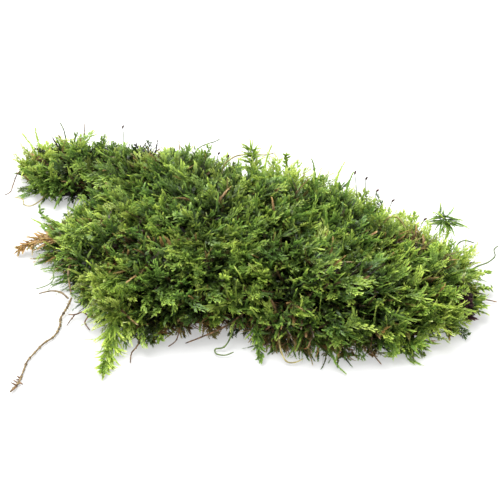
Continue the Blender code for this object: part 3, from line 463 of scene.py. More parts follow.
# %% The feather
FEATHERS = 6
FEATHER_PAIRS = 5
FEATHER_BRANCH = 5.4
BRANCH_LEAVES = 8
BRANCH_LEAF_LENGTH = 1.8
BRANCH_LEAF_HALF_WIDTH = 0.36
FEATHER_TIP_LEAVES = 16


def turned(heading, angle):
    """A direction turned in its own plane by an angle."""
    return np.array((math.cos(angle) * heading[0] - math.sin(angle) * heading[1],
                     math.sin(angle) * heading[0] + math.cos(angle) * heading[1], heading[2]))


def add_branch(pattern, share, side):
    """One leafy side branch, which bends forwards and has its youngest leaves at its end."""
    reach = FEATHER_BRANCH * (1.08 - 0.60 * share) * rng.uniform(0.6, 1.2)
    spread = math.radians(rng.uniform(38, 64))
    heading = unit((math.cos(spread), side * math.sin(spread), rng.normal(0.06, 0.28)))
    forward = -side * rng.uniform(0.1, 0.9)
    growth_end = min(1.0, share * 0.5 + 0.55)
    for k in range(BRANCH_LEAVES):
        along = k / (BRANCH_LEAVES - 1)
        bent = turned(heading, forward * along)
        start = turned(heading, forward * along * 0.5) * reach * (0.05 + 0.82 * along)
        leaf_heading = turned(bent, (1 if k % 2 else -1) * math.radians(rng.uniform(8, 27)))
        leaf_heading = unit(leaf_heading + np.array((0.0, 0.0, rng.normal(0.10, 0.28))))
        up = np.array((rng.normal(0, 0.35), rng.normal(0, 0.35), 1.0))
        up = unit(up - leaf_heading * np.dot(up, leaf_heading))
        size = rng.uniform(0.85, 1.15) * (1.08 - 0.35 * along)
        growth = share * 0.5 + 0.15 + (growth_end - share * 0.5 - 0.15) * along
        pattern.leaf(share, start, leaf_heading, up, BRANCH_LEAF_LENGTH * size,
                     BRANCH_LEAF_HALF_WIDTH * size, growth)


def make_feather():
    """A small feather: a leafy middle stem with pairs of leafy branches, shorter towards the tip."""
    pattern = Pattern()
    pattern.stem((0.0, 0.95), np.zeros(3), np.zeros(3), 0.17, 0.3)
    for i in range(FEATHER_PAIRS):
        for side in (-1, 1):
            share = 0.10 + 0.70 * (i + 0.25 * (side + 1)) / (FEATHER_PAIRS - 1)
            add_branch(pattern, share, side)
    for i in range(FEATHER_TIP_LEAVES):
        share = 0.20 + 0.76 * i / (FEATHER_TIP_LEAVES - 1)
        side = 1 if i % 2 else -1
        spread = math.radians(rng.uniform(14, 40))
        heading = unit((math.cos(spread), side * math.sin(spread) * 0.8, rng.uniform(0.1, 0.5)))
        up = unit(np.cross(heading, np.cross((0.0, 0.0, 1.0), heading)))
        pattern.leaf(share, np.array((0.0, 0.0, 0.1)), heading, up, BRANCH_LEAF_LENGTH,
                     BRANCH_LEAF_HALF_WIDTH, share)
    return pattern.finish()


feathers = [make_feather() for _ in range(FEATHERS)]
print("a feather has", len(feathers[0].faces), "triangles")

# %% [markdown]
# ## Laying the shoots
#
# A shoot is a pattern laid along a bent line from its root. The arrays hold one row for each shoot, so that
# thousands of them are made in a few seconds. The bend is a parabola, which is close enough to how a thin
# springy stem curves under its own weight.

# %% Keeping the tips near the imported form
# cells of the grid by which a tip may lie outside the form, and has to lie inside it in the bay
TIP_BEYOND = 3
BAY_WITHIN = 1
BAY_MIDDLE, BAY_RADIUS = (-91, 47), 15
# shares of its length that a shoot is given, one after the other, until its tip is near enough
SHORTER = (0.82, 0.66, 0.50, 0.36, 0.24)
reachable = blurred(round_filter(covered, TIP_BEYOND, np.maximum, 0.0), np.ones_like(covered), 1, 1)
in_bay = radii_from(grid_x[:, None], grid_y[None, :], BAY_MIDDLE, BAY_RADIUS) < 1
reachable = np.where(in_bay, round_filter(covered, BAY_WITHIN, np.minimum, 0.0), reachable)


def near_form(root, azimuth, rise, length):
    """Shares of length that keep each shoot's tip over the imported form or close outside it."""
    share = np.ones(len(length))
    for shorter in SHORTER:
        reach = share * length * np.cos(rise) * MM
        x, y = root[:, 0] + np.cos(azimuth) * reach, root[:, 1] + np.sin(azimuth) * reach
        share = np.where(read_grid(reachable, x, y) < 0.5, shorter, share)
    return share


print("tips stay within", TIP_BEYOND * GRID / MM, "mm of the packed form")

# %% [markdown]
# Each shoot becomes one row of numbers, and all rows that share a pattern are laid at once. A leaf's place on
# the map follows from its shoot's age and from how far up the shoot it sits, for tips are young, and a
# shoot's foot is darker with painted shade.

# %% Shoots as rows of numbers
# painted shade at a shoot's foot: the share of its lightness kept there in the mat, and for one that stands
# free
FOOT_SHADE = 0.09
OPEN_FOOT_SHADE = 0.65
SIDEWAYS_TURN = 0.6

# where a row holds what
ROOT, HEADING, CURVE, SIDE = (slice(first, first + 3) for first in (0, 3, 6, 9))
LENGTH, WIDTH, AGE, LIGHT, KIND, FOOT = range(12, 18)


def drawn(value, count):
    """A value for each shoot: drawn from a (low, high) range, or just as it is given."""
    return rng.uniform(*value, count) if isinstance(value, tuple) else value


class Shoots:
    """Shoots, one row for each, with its numbers in the order of the names above."""

    def __init__(self):
        self.rows = []

    def grow(self, root, azimuth, rise, bend, roll, length, width, age, light, kind, free=False,
             foot=FOOT_SHADE):
        """Adds shoots. Angles are in radians, and bend is the change of slope. A (low, high) range is drawn
        from, and a roll that is one number is the spread of the rolls. Free shoots keep their length.
        foot is the share of its lightness that a shoot keeps at its foot, which is painted shade."""
        count = len(azimuth)
        bend = drawn(bend, count)
        roll = roll if np.ndim(roll) else rng.normal(0, roll, count)
        length, width, age, light = [drawn(value, count) for value in (length, width, age, light)]
        if not free:
            length = length * near_form(root, azimuth, rise, length)
        flat = np.stack([np.cos(azimuth), np.sin(azimuth), np.zeros_like(azimuth)], 1)
        upwards = np.array((0.0, 0.0, 1.0))
        heading = flat * np.cos(rise)[:, None] + upwards * np.sin(rise)[:, None]
        lift = -flat * np.sin(rise)[:, None] + upwards * np.cos(rise)[:, None]
        level = np.stack([-np.sin(azimuth), np.cos(azimuth), np.zeros_like(azimuth)], 1)
        turn = rng.normal(0, SIDEWAYS_TURN, count)
        curve = lift * (bend / length)[:, None] + level * (turn / length)[:, None]
        side = level * np.cos(roll)[:, None] + lift * np.sin(roll)[:, None]
        kind, foot = np.full(count, kind), np.full(count, foot)
        self.rows.append(np.column_stack([root, heading, curve, side, length, width, age, light, kind, foot]))

    def count(self):
        """How many shoots there are so far."""
        return sum(len(rows) for rows in self.rows)

    def table(self):
        """All rows as one array."""
        return np.concatenate(self.rows)


# how much younger a tip is than a foot, the same for a dead shoot, which is one below DEAD_AGE, the spread
# from leaf to leaf, and how far up a shoot its leaves have its own age
AGE_SPAN = 0.26
DEAD_AGE_SPAN = 0.06
DEAD_AGE = 0.30
AGE_JITTER = 0.03
GROWTH_MIDDLE = 0.6


def map_places(ages, lights):
    """Ages and lightnesses as places on the leaf map, off its very edge."""
    return np.clip(np.stack([ages, lights], 2), 0.01, 0.99).reshape(-1, 2)


def lay(pattern, rows):
    """The points, triangles and map places of a pattern laid along each row."""
    root, heading, curve, side = rows[:, ROOT], rows[:, HEADING], rows[:, CURVE], rows[:, SIDE]
    length, width, age, light, foot = (rows[:, k][:, None] for k in (LENGTH, WIDTH, AGE, LIGHT, FOOT))
    along = pattern.share[None] * length + pattern.offset[None, :, 0] * width
    centre = root[:, None] + (heading[:, None] * along[..., None]
                              + 0.5 * curve[:, None] * along[..., None] ** 2) * MM
    tangent = heading[:, None] + curve[:, None] * along[..., None]
    tangent /= np.linalg.norm(tangent, axis=2, keepdims=True)
    up = np.cross(tangent, side[:, None])
    aside = (pattern.offset[None, :, 1] * width)[..., None] * MM
    raised = (pattern.offset[None, :, 2] * width)[..., None] * MM
    points = centre + side[:, None] * aside + up * raised
    low = points[..., 2] < FLOOR
    points[..., 2][low] = FLOOR + rng.uniform(0, 0.5 * MM, low.sum())
    faces = pattern.faces[None] + (np.arange(len(rows)) * len(pattern.share))[:, None, None]
    span = np.where(age < DEAD_AGE, DEAD_AGE_SPAN, AGE_SPAN)
    ages = age + span * (pattern.growth[None] - GROWTH_MIDDLE) + rng.normal(0, AGE_JITTER, along.shape)
    # painted shade: each leaf darker at its foot, and each shoot darker towards its foot
    lights = light * pattern.lightness[None] * (foot + (1 - foot) * pattern.growth[None])
    return points.reshape(-1, 3), faces.reshape(-1, 3), map_places(ages, lights)


def joined(parts):
    """Several (points, triangles, places) as one."""
    start = np.cumsum([0] + [len(points) for points, _, _ in parts])
    return (np.concatenate([points for points, _, _ in parts]),
            np.concatenate([faces + first for (_, faces, _), first in zip(parts, start)]),
            np.concatenate([places for _, _, places in parts]))


def lay_all(patterns, rows, pick):
    """Rows laid along the pattern that is picked for each."""
    return joined([lay(pattern, rows[pick == k]) for k, pattern in enumerate(patterns) if (pick == k).any()])


def mesh_object(name, points, faces, places=None, smooth=False):
    """A mesh object from arrays, with the leaf map if it has places on it."""
    mesh = bpy.data.meshes.new(name)
    mesh.vertices.add(len(points))
    mesh.vertices.foreach_set("co", np.ascontiguousarray(points, np.float32).ravel())
    mesh.loops.add(len(faces) * 3)
    mesh.loops.foreach_set("vertex_index", faces.astype(np.int32).ravel())
    mesh.polygons.add(len(faces))
    mesh.polygons.foreach_set("loop_start", np.arange(0, len(faces) * 3, 3, dtype=np.int32))
    if places is not None:
        layer = mesh.uv_layers.new(name=LEAF_MAP)
        layer.uv.foreach_set("vector", places[faces.ravel()].astype(np.float32).ravel())
    mesh.update(calc_edges=True)
    if smooth:
        mesh.polygons.foreach_set("use_smooth", [True] * len(faces))
    obj = bpy.data.objects.new(name, mesh)
    bpy.context.scene.collection.objects.link(obj)
    return obj


def dress(obj, material, slot, *replaced):
    """Finishes a piece: its material, the body it rides on and the nodes it stands for; its slot is not used.
    """
    obj.data.materials.append(material)
    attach(obj, "root")
    if replaced:
        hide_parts(*replaced)
    return obj


print("shoots can be laid")

# %% [markdown]
# ## Where the shoots grow
#
# The shoots lean away from the middle of the clump and turn in slow swirls, so that patches of them lie
# side by side like shingles. At the back rim they stand up, and over the front edge they droop. Patches of
# other colour, and of painted shade in the hollows, are named here with their places, in millimetres from
# the mat's centre.

# %% Patches of the mat
GROWTH_CENTRE = (-15.0, 12.0)
# name: x, y, radius, share of shoots that are dead, age there, change of age, change of lightness, which is
# painted shade in the dark hollows and under the arm
PATCHES = {
    "dead patch at the back left": (-83, 50, 9, 0.55, 0.10, 0.0, -0.05),
    "dead patch behind the left": (-52, 62, 9, 0.40, 0.13, 0.0, -0.05),
    "rusty arch at the back": (31, 40, 6, 0.50, 0.20, 0.0, 0.0),
    "dead patch at the left": (-59, -11, 7, 0.60, 0.12, 0.0, -0.08),
    "rusty patch in the middle": (-36, -13, 6, 0.50, 0.17, 0.0, 0.0),
    "rusty arc at the left": (-43, -25, 7, 0.40, 0.15, 0.0, -0.05),
    "dead patch at the right": (77, -9, 10, 0.50, 0.16, 0.0, 0.0),
    "purple brown patch": (39, -42, 12, 0.45, 0.07, -0.02, -0.03),
    "brown front": (14, -62, 17, 0.30, 0.14, -0.05, -0.02),
    "bright tuft at the left front": (-66, -26, 12, 0.0, 0.5, 0.10, 0.16),
    "bright tuft at the corner": (-62, -50, 11, 0.0, 0.5, 0.12, 0.08),
    "bright tuft at the front": (-16, -43, 10, 0.0, 0.5, 0.06, 0.12),
    "bright shoots in the middle right": (54, -21, 12, 0.0, 0.5, 0.06, 0.12),
    "bright shoots at the right back": (66, 2, 10, 0.0, 0.5, 0.10, 0.14),
    "bright right lobe": (96, -8, 23, 0.12, 0.19, 0.17, 0.26),
    "left shoulder": (-84, 2, 14, 0.14, 0.15, 0.04, -0.08),
    "bright end of the arm": (-115, 84, 14, 0.05, 0.20, 0.16, 0.26),
    # painted shade: the hollows and the underside of the arm are darkened in colour
    "dark hollow at the left front": (-30, -48, 17, 0.10, 0.10, -0.08, -0.32),
    "dark hollow at the left": (-67, -14, 8, 0.10, 0.10, -0.05, -0.30),
    "dark hollow in the middle right": (52, -9, 8, 0.05, 0.10, -0.04, -0.25),
    "dark hollow in the arm": (-105, 87, 8, 0.20, 0.13, -0.08, -0.34),
    "dark underside of the arm": (-84, 66, 9, 0.25, 0.13, -0.08, -0.30),
    "pale front at the right": (50, -50, 24, 0.06, 0.10, -0.06, 0.08),
    "pale edge at the right front": (82, -54, 17, 0.05, 0.20, 0.14, 0.34),
    "dim rim at the back left": (-60, 84, 18, 0.08, 0.14, -0.04, -0.16),
    "dim rim at the back right": (38, 50, 14, 0.08, 0.14, -0.04, -0.15),
}
print(len(PATCHES), "patches")

# %% [markdown]
# Shoots of one plant lie alike, so the mat is parted into tufts about 9 mm wide. Each tuft has a direction,
# an age, a lightness and a height of its own, and its shoots open out from its middle like a fan.

# %% Tufts
TUFT_SIZE = 9.0
TUFT_JITTER = 0.45
TUFT_RADIUS = 0.58 * TUFT_SIZE * MM
FAN_OUT = 1.1
SWIRL = math.radians(75) * 0.7
SWIRL_SIZE = 34
# spread of the tufts' directions, ages, lightnesses and heights in mm
TUFT_TURN, TUFT_AGE, TUFT_LIGHT, TUFT_HEIGHT = 0.5, 0.055, 0.10, 0.9


def jittered(spacing_mm, jitter):
    """Plan places on a grid over the whole mat, each moved at random by up to a share of the spacing."""
    step = spacing_mm * MM
    x, y = np.meshgrid(np.arange(grid_x[0], grid_x[-1], step), np.arange(grid_y[0], grid_y[-1], step))
    x = (x + rng.uniform(-jitter, jitter, x.shape) * step).ravel()
    y = (y + rng.uniform(-jitter, jitter, y.shape) * step).ravel()
    return x, y


def lean(x, y):
    """Plan direction in which shoots lie, in radians."""
    outward = np.arctan2(y - (GROWTH_CENTRE[1] * MM + SHIFT.y), x - (GROWTH_CENTRE[0] * MM + SHIFT.x))
    return outward + SWIRL * soft_noise(x, y, SWIRL_SIZE, 7.0)


tufts = np.stack(jittered(TUFT_SIZE, TUFT_JITTER), 1)
tuft_lean = lean(*tufts.T) + rng.normal(0, TUFT_TURN, len(tufts))
tuft_age = rng.normal(0, TUFT_AGE, len(tufts))
tuft_light = rng.normal(0, TUFT_LIGHT, len(tufts))
tuft_height = rng.normal(0, TUFT_HEIGHT, len(tufts)) * MM


def tuft_of(x, y):
    """Each place's tuft, its distance from the tuft's middle in tuft radii, and the direction from there."""
    offset = np.stack([x, y], 1)[:, None] - tufts[None]
    far = np.hypot(offset[..., 0], offset[..., 1])
    nearest = far.argmin(1)
    away = offset[np.arange(len(x)), nearest]
    return nearest, np.clip(far.min(1) / TUFT_RADIUS, 0, 1.2), np.arctan2(away[:, 1], away[:, 0])


def tufted_lean(tuft, share, away):
    """A tuft's own direction, opened out like a fan towards its rim."""
    x = np.cos(tuft_lean[tuft]) + FAN_OUT * share * np.cos(away)
    y = np.sin(tuft_lean[tuft]) + FAN_OUT * share * np.sin(away)
    return np.arctan2(y, x)


print(len(tufts), "tufts of", TUFT_SIZE, "mm")

# %% [markdown]
# On the front side of the bay between the arm and the body the mat is thin and its shoots are short and lie
# flat, so the bare ground behind shows. This says how near a place is to the middle of that low bank.

# %% The low bank by the bay
LOW_BANK_MIDDLE = (-88, 36)
LOW_BANK_RADIUS = 17


def low_bank(x, y):
    """From 0 far away to 1 in the middle of the low bank."""
    return np.exp(-radii_from(x, y, LOW_BANK_MIDDLE, LOW_BANK_RADIUS)**2)


print("the bank is", LOW_BANK_RADIUS, "mm in radius")

# %% [markdown]
# What else a shoot needs follows from its place: whether it is on the back or the front rim, how old it is
# and how light its leaves are, in their own tone and in painted light and shade. Age and lightness change
# over the mat in soft hills, a few dead shoots lie anywhere, and the named patches add theirs.

# %% How shoots stand at a place
RIM_BAND = 10.0
# the back rim: a change of age, and more lightness, which is painted light where the rim glows against the
# light
BACK_OLDER, BACK_LIGHTER = 0.11, 0.12
DEAD_ANYWHERE = 0.035
DEAD_AGES = (0.08, 0.24)
# of age and of lightness: the middle, the height and width in mm of its soft hills, and its random spread
AGE_FIELD = (0.57, 0.07, 26, 0.06)
LIGHT_FIELD = (0.65, 0.12, 16, 0.15)


def rims(edge, outward):
    """How far a place is on the back rim and on the front rim, from 0 to 1 each."""
    near = np.clip(1 - edge / (RIM_BAND * MM), 0, 1)
    return near * np.clip(np.sin(outward) * 2, 0, 1), near * np.clip(-np.sin(outward) * 2, 0, 1)


def hilly(x, y, layer, middle, height, width, spread):
    """A value at plan places that changes in soft hills, and at random from shoot to shoot."""
    return middle + height * soft_noise(x, y, width, layer) + rng.normal(0, spread, len(x))


def looks_at(x, y, back):
    """Age and lightness of shoots at plan places, with the dead ones picked out."""
    age, light = hilly(x, y, 1.0, *AGE_FIELD), hilly(x, y, 2.0, *LIGHT_FIELD)
    age += BACK_OLDER * back
    light += BACK_LIGHTER * back
    dead = rng.random(len(x)) < DEAD_ANYWHERE
    age[dead] = rng.uniform(*DEAD_AGES, dead.sum())
    for px, py, radius, share, dead_age, more_age, more_light in PATCHES.values():
        near = np.exp(-radii_from(x, y, (px, py), radius)**2)
        age += more_age * near
        light += more_light * near
        dies = rng.random(len(x)) < share * near * 1.25
        age[dies] = dead_age + rng.normal(0, 0.03, dies.sum())
    return np.clip(age, 0.03, 0.95), np.clip(light, 0.08, 0.98)


print("shoots know how to stand")

# %% [markdown]
# ### Shoots on top
#
# They are scattered over a jittered grid, so that no spot stays bare and no row shows. They come in layers:
# sprigs deep down, painted dark as shade, which only fill the gaps, then green sprigs, then feathers and
# single whips that lie on top, painted lighter as in full light. All of them stand up along the back rim.

# %% Shoots on top of the mat
SPRIG, FEATHER, WHIP, DEEP_SPRIG = 0, 1, 2, 3
# name: kind, spacing, range of depth, range of length in mm, range of rise in degrees, spread of direction,
# share of its lightness that it keeps, which is painted shade deep down and painted light on top, change of
# age
LAYERS = {
    "deep sprigs": (DEEP_SPRIG, 1.95, (2.2, 6.5), (6.0, 10.0), (5, 60), 1.1, 0.34, -0.07),
    "sprigs": (SPRIG, 2.15, (0.0, 3.4), (5.5, 10.0), (5, 62), 0.9, 1.0, 0.0),
    "feathers": (FEATHER, 3.86, (-0.6, 2.4), (10.0, 15.0), (4, 42), 0.5, 1.12, 0.02),
    "whips": (WHIP, 5.8, (-0.6, 2.2), (7.0, 12.0), (20, 65), 1.0, 1.15, 0.03),
}
DOME = 3.6
# degrees by which shoots rise more at the back, droop at the front and lie higher over the dead front
BACK_RISE, FRONT_DROOP, LITTER_LIFT = 26.0, 14.0, 12.0
# how strongly shoots turn outward on a rim, and bend down in front
RIM_TURN, FRONT_BEND = 0.8, 0.45
# how much flatter and shorter shoots are on the low bank, and how much longer at the back
BANK_FLATTER, BANK_SHORTER, BACK_LONGER = 0.8, 0.45, 0.25
# painted light and shade: lightness gained from a tuft's foot to its top, and lost for each millimetre of
# depth
DOME_LIGHT, DEPTH_LIGHT = 0.30, 0.09
# name: x, y, radius and the share of shoots that are missing in the middle
THIN_PLACES = {
    "end of the arm": (-117, 83, 13, 0.65),
    "hollow in the arm": (-105, 78, 6, 0.9),
    "end of the right lobe": (102, -14, 15, 0.5),
    "over the dark clump": (99, -40, 9, 0.95),
}
HANGING_MIDDLE, HANGING_RADIUS = (50, -42), 34
HANGING_SHARE = 0.6
HANGING_DIRECTION = math.radians(-38)
HANGING_RISE = (-8, 22)
DEEP_INSET = 5.0
# from where to where along the front edge the mat is dead and brown low down
DEAD_FRONT = (-43, 60)


def scattered(spacing_mm):
    """Plan places on a jittered grid over the cushion."""
    x, y = jittered(spacing_mm, 0.6)
    kept = read_grid(body, x, y) > 0.5
    return x[kept], y[kept]


def hanging(x, y):
    """Picks the shoots at the front right, which hang side by side like catkins."""
    far = radii_from(x, y, HANGING_MIDDLE, HANGING_RADIUS)
    return rng.random(len(x)) < HANGING_SHARE * np.exp(-far**4)


def thinned(x, y):
    """The places that are left where the mat is thin."""
    kept = np.ones(len(x), bool)
    for px, py, radius, missing in THIN_PLACES.values():
        kept &= rng.random(len(x)) > missing * np.exp(-radii_from(x, y, (px, py), radius)**4)
    return x[kept], y[kept]


def grow_top(shoots, kind, spacing, depth_range, length_range, rise_range, turn_spread, lit, older):
    """Grows one layer over the whole mat, and says how many shoots it has."""
    x, y = thinned(*scattered(spacing))
    if kind == DEEP_SPRIG:
        inside = edge_distance(x, y)[0] > DEEP_INSET * MM
        x, y = x[inside], y[inside]
    count = len(x)
    edge, outward = edge_distance(x, y)
    back, front = rims(edge, outward)
    tuft, share, away = tuft_of(x, y)
    dome = 1 - share**2
    bank = low_bank(x, y)
    depth = rng.uniform(*depth_range, count)
    height = read_grid(cushion, x, y) + (tuft_height[tuft] + DOME * dome * MM) * (1 - bank) - depth * MM
    root = np.column_stack([x, y, np.maximum(height, 1.0 * MM)])
    azimuth = tufted_lean(tuft, share, away) + rng.normal(0, turn_spread, count)
    azimuth += np.angle(np.exp(1j * (outward - azimuth))) * np.maximum(back, front) * RIM_TURN
    litter = front * (x > DEAD_FRONT[0] * MM) * (x < DEAD_FRONT[1] * MM)
    rise = rng.uniform(*rise_range, count) * (1 - BANK_FLATTER * bank)
    rise = rise + BACK_RISE * back - FRONT_DROOP * front + LITTER_LIFT * litter
    bend = rng.uniform(-0.9, 0.8, count) - FRONT_BEND * front
    kind = np.full(count, float(kind))
    hang = (kind == SPRIG) & hanging(x, y)
    kind[hang] = WHIP
    azimuth[hang] = HANGING_DIRECTION + rng.normal(0, 0.35, hang.sum())
    rise[hang] = rng.uniform(*HANGING_RISE, hang.sum())
    age, light = looks_at(x, y, back)
    age = np.clip(age + tuft_age[tuft] + older, 0.02, 0.97)
    kind[(kind == FEATHER) & (age < DEAD_AGE)] = WHIP
    # painted light and shade: more lightness on the rims and on tuft tops, less deeper down
    lit = lit + (1 - lit) * np.maximum(back, front) * 0.7
    light = (light + tuft_light[tuft] + DOME_LIGHT * (dome - 0.5) - DEPTH_LIGHT * (depth - 1.0)) * lit
    length = rng.uniform(*length_range, count) * (1 + BACK_LONGER * back) * (1 - BANK_SHORTER * bank)
    shoots.grow(root, azimuth, np.radians(rise), bend, rng.normal(0, 0.45, count), length,
                rng.uniform(0.8, 1.15, count) + 0.2 * hang, age, np.clip(light, 0.04, 0.99), kind)
    return count


shoots = Shoots()
for name, layer in LAYERS.items():
    print(grow_top(shoots, *layer), name, "on top")

# %% [markdown]
# ### Plumes
#
# In places a large feathery shoot has branched and lies on the others like an open fan. Its feathers start at
# one point and fan out, in full light, so it is what the eye picks out first.

# %% Plumes on the mat
PLUMES = 30
PLUME_SPACING = 9.0
PLUME_FEATHERS = 6
PLUME_OPENING = math.radians(38)
PLUME_INSET = 7.0
PLUME_LENGTH = (12, 17)
# x, y and direction in degrees of the plumes that stand out most
NAMED_PLUMES = ((-68, -12, -70), (-62, -30, -95), (-22, -37, -25), (-80, 8, 175), (40, -38, -60))


def grow_plumes(shoots):
    """Grows feathers in fans, at random places and at the named ones, and says how many."""
    x, y = scattered(PLUME_SPACING)
    inner = edge_distance(x, y)[0] > PLUME_INSET * MM
    pick = rng.choice(np.flatnonzero(inner), PLUMES, replace=False)
    direction = lean(x[pick], y[pick]) + rng.normal(0, 0.4, PLUMES)
    named_x, named_y, named_direction = np.array(NAMED_PLUMES, float).T
    x = np.concatenate([x[pick], named_x * MM + SHIFT.x])
    y = np.concatenate([y[pick], named_y * MM + SHIFT.y])
    direction = np.concatenate([direction, np.radians(named_direction)])
    x, y = np.repeat(x, PLUME_FEATHERS), np.repeat(y, PLUME_FEATHERS)
    count = len(x)
    opening = np.tile(np.linspace(-1, 1, PLUME_FEATHERS), count // PLUME_FEATHERS) * PLUME_OPENING
    azimuth = np.repeat(direction, PLUME_FEATHERS) + opening + rng.normal(0, 0.12, count)
    x, y = x + rng.normal(0, 1.2 * MM, count), y + rng.normal(0, 1.2 * MM, count)
    root = np.column_stack([x, y, read_grid(cushion, x, y) + rng.uniform(0.5, 2.5, count) * MM])
    shade = np.repeat(rng.uniform(0.62, 0.95, count // PLUME_FEATHERS), PLUME_FEATHERS)
    age = np.repeat(rng.normal(0.60, 0.05, count // PLUME_FEATHERS), PLUME_FEATHERS)
    rise = np.radians(rng.uniform(8, 30, count))
    shoots.grow(root, azimuth, rise, (-0.9, -0.2), 0.25, PLUME_LENGTH, (1.0, 1.25), age, shade, FEATHER)
    return count


print(grow_plumes(shoots), "feathers in plumes")

# %% [markdown]
# ### Shoots round the edge
#
# The side of the mat shows along the whole edge, so it gets shoots of its own, rooted inside the cushion
# and pointing out, from just above the ground to the rim. Low down in front they are brown and old.

# %% Shoots round the edge
EDGE_SHOOTS = 1350
EDGE_FEATHER_SHARE = 0.18
EDGE_INSET = 3.5
EDGE_LENGTH = (6.0, 10.0)
EDGE_FOOT_SHADE = 0.40
# degrees at the foot of the edge, how many more at its top, how many more yet at the back, and the spread
EDGE_RISE, TOP_RISE, BACK_EDGE_RISE, EDGE_RISE_SPREAD = -6, 34, 35, 9
# up to which share of the height shoots are old, how many of them are, and their ages
OLD_BELOW, OLD_SHARE, OLD_AGES = 0.60, 0.80, (0.13, 0.31)


def grow_edge(shoots):
    """Grows shoots that point out of the whole edge, from the ground to the rim."""
    pick = rng.integers(0, len(edge_places), EDGE_SHOOTS)
    place = edge_places[pick] + rng.uniform(-0.5, 0.5, (EDGE_SHOOTS, 2)) * GRID
    inner_x, inner_y = thinned(*place.T)
    count = len(inner_x)
    step = 3 * GRID
    slope_x = read_grid(body, inner_x + step, inner_y) - read_grid(body, inner_x - step, inner_y)
    slope_y = read_grid(body, inner_x, inner_y + step) - read_grid(body, inner_x, inner_y - step)
    outward = np.arctan2(-slope_y, -slope_x)
    x = inner_x - np.cos(outward) * EDGE_INSET * MM
    y = inner_y - np.sin(outward) * EDGE_INSET * MM
    share = rng.random(count)
    top = np.maximum(read_grid(cushion, x, y), 5 * MM)
    root = np.column_stack([x, y, 1.0 * MM + share * (top - 1.5 * MM)])
    azimuth = outward + rng.normal(0, 0.55, count)
    rise = np.radians(EDGE_RISE + TOP_RISE * share + rng.normal(0, EDGE_RISE_SPREAD, count))
    back = np.clip(np.sin(outward) * 2, 0, 1)
    rise += np.radians(BACK_EDGE_RISE * share * back)
    age, light = looks_at(x, y, back * share)
    front = (y < 0) & (x > DEAD_FRONT[0] * MM) & (x < DEAD_FRONT[1] * MM)
    old = (share < OLD_BELOW) & front & (rng.random(count) < OLD_SHARE)
    age[old] = rng.uniform(*OLD_AGES, old.sum())
    # painted shade: darker lower down the edge, and the old shoots there lighter again
    light = np.clip(light * (0.50 + 0.60 * share) * np.where(old, 1.5, 1.0), 0.05, 0.98)
    kind = np.where(rng.random(count) < EDGE_FEATHER_SHARE, FEATHER, SPRIG).astype(float)
    length = rng.uniform(*EDGE_LENGTH, count) * (1 - 0.5 * low_bank(x, y))
    shoots.grow(root, azimuth, rise, (-0.6, 0.3), 0.5, length, (0.8, 1.1), age, light, kind,
                foot=EDGE_FOOT_SHADE)


grow_edge(shoots)
print(shoots.count(), "shoots on top and round the edge")

# %% [markdown]
# ### Shoots that stand up along the back rim
#
# Against the light, single shoots stand above the rim, each with air round it. They are the palest of all:
# they are young, and their feet keep more of their lightness, a painted light, because nothing shades them.

# %% Shoots standing on the back rim
STANDING = 380
ARM_END = -103
STANDING_LENGTH = (7.0, 13.0)
# along the mat: the middle and half width in mm of where they are tallest, and how many times as tall
TALLEST_STANDING = (26, 30, 1.6)
STANDING_AGE = (0.56, 0.80)


def grow_standing(shoots):
    """Grows single shoots that stand up along the back rim and round the end of the arm."""
    x, y = scattered(1.4)
    edge, outward = edge_distance(x, y)
    back, _ = rims(edge, outward)
    arm_end = (x < ARM_END * MM) * np.clip(1 - edge / (8 * MM), 0, 1)
    chance = back**2 + 0.6 * arm_end
    pick = rng.choice(len(x), STANDING, replace=False, p=chance / chance.sum())
    x, y, edge, outward = x[pick], y[pick], edge[pick], outward[pick]
    root = np.column_stack([x, y, read_grid(cushion, x, y) + rng.uniform(-1.5, 2.0, STANDING) * MM])
    azimuth = outward + rng.normal(0, 0.9, STANDING)
    rise = np.radians(rng.uniform(38, 82, STANDING))
    age, light = rng.uniform(*STANDING_AGE, STANDING), rng.uniform(0.55, 0.95, STANDING)
    kind = rng.choice((SPRIG, FEATHER, WHIP), STANDING, p=(0.35, 0.25, 0.40)).astype(float)
    middle, half_span, taller = TALLEST_STANDING
    far = (x - middle * MM - SHIFT.x) / (half_span * MM)
    length = rng.uniform(*STANDING_LENGTH, STANDING) * (1 + (taller - 1) * np.exp(-far**2))
    shoots.grow(root, azimuth, rise, (-1.0, 0.6), 0.8, length, (0.75, 1.05), age, light, kind,
                foot=OPEN_FOOT_SHADE)


grow_standing(shoots)
print(shoots.count(), "shoots with the standing ones")

# %% [markdown]
# In places they stand together as bright tufts, which make the peaks of the outline seen from the front.
# Each tuft is given as its distance along the mat, how many shoots it has and how long they are.

# %% Tufts standing on the back rim
RIM_TUFTS = (
    (-114, 12, 12), (-103, 7, 9), (-94, 12, 13), (-84, 8, 9), (-70, 8, 9), (-56, 12, 11), (-44, 9, 10),
    (-36, 9, 10), (2, 20, 19), (9, 20, 21), (18, 18, 20), (31, 18, 17), (42, 14, 16), (50, 12, 16),
    (62, 9, 12), (75, 9, 12), (88, 10, 13), (97, 16, 16),
)
RIM_TUFT_INSET = 10.0
RIM_TUFT_RADIUS = 3.0


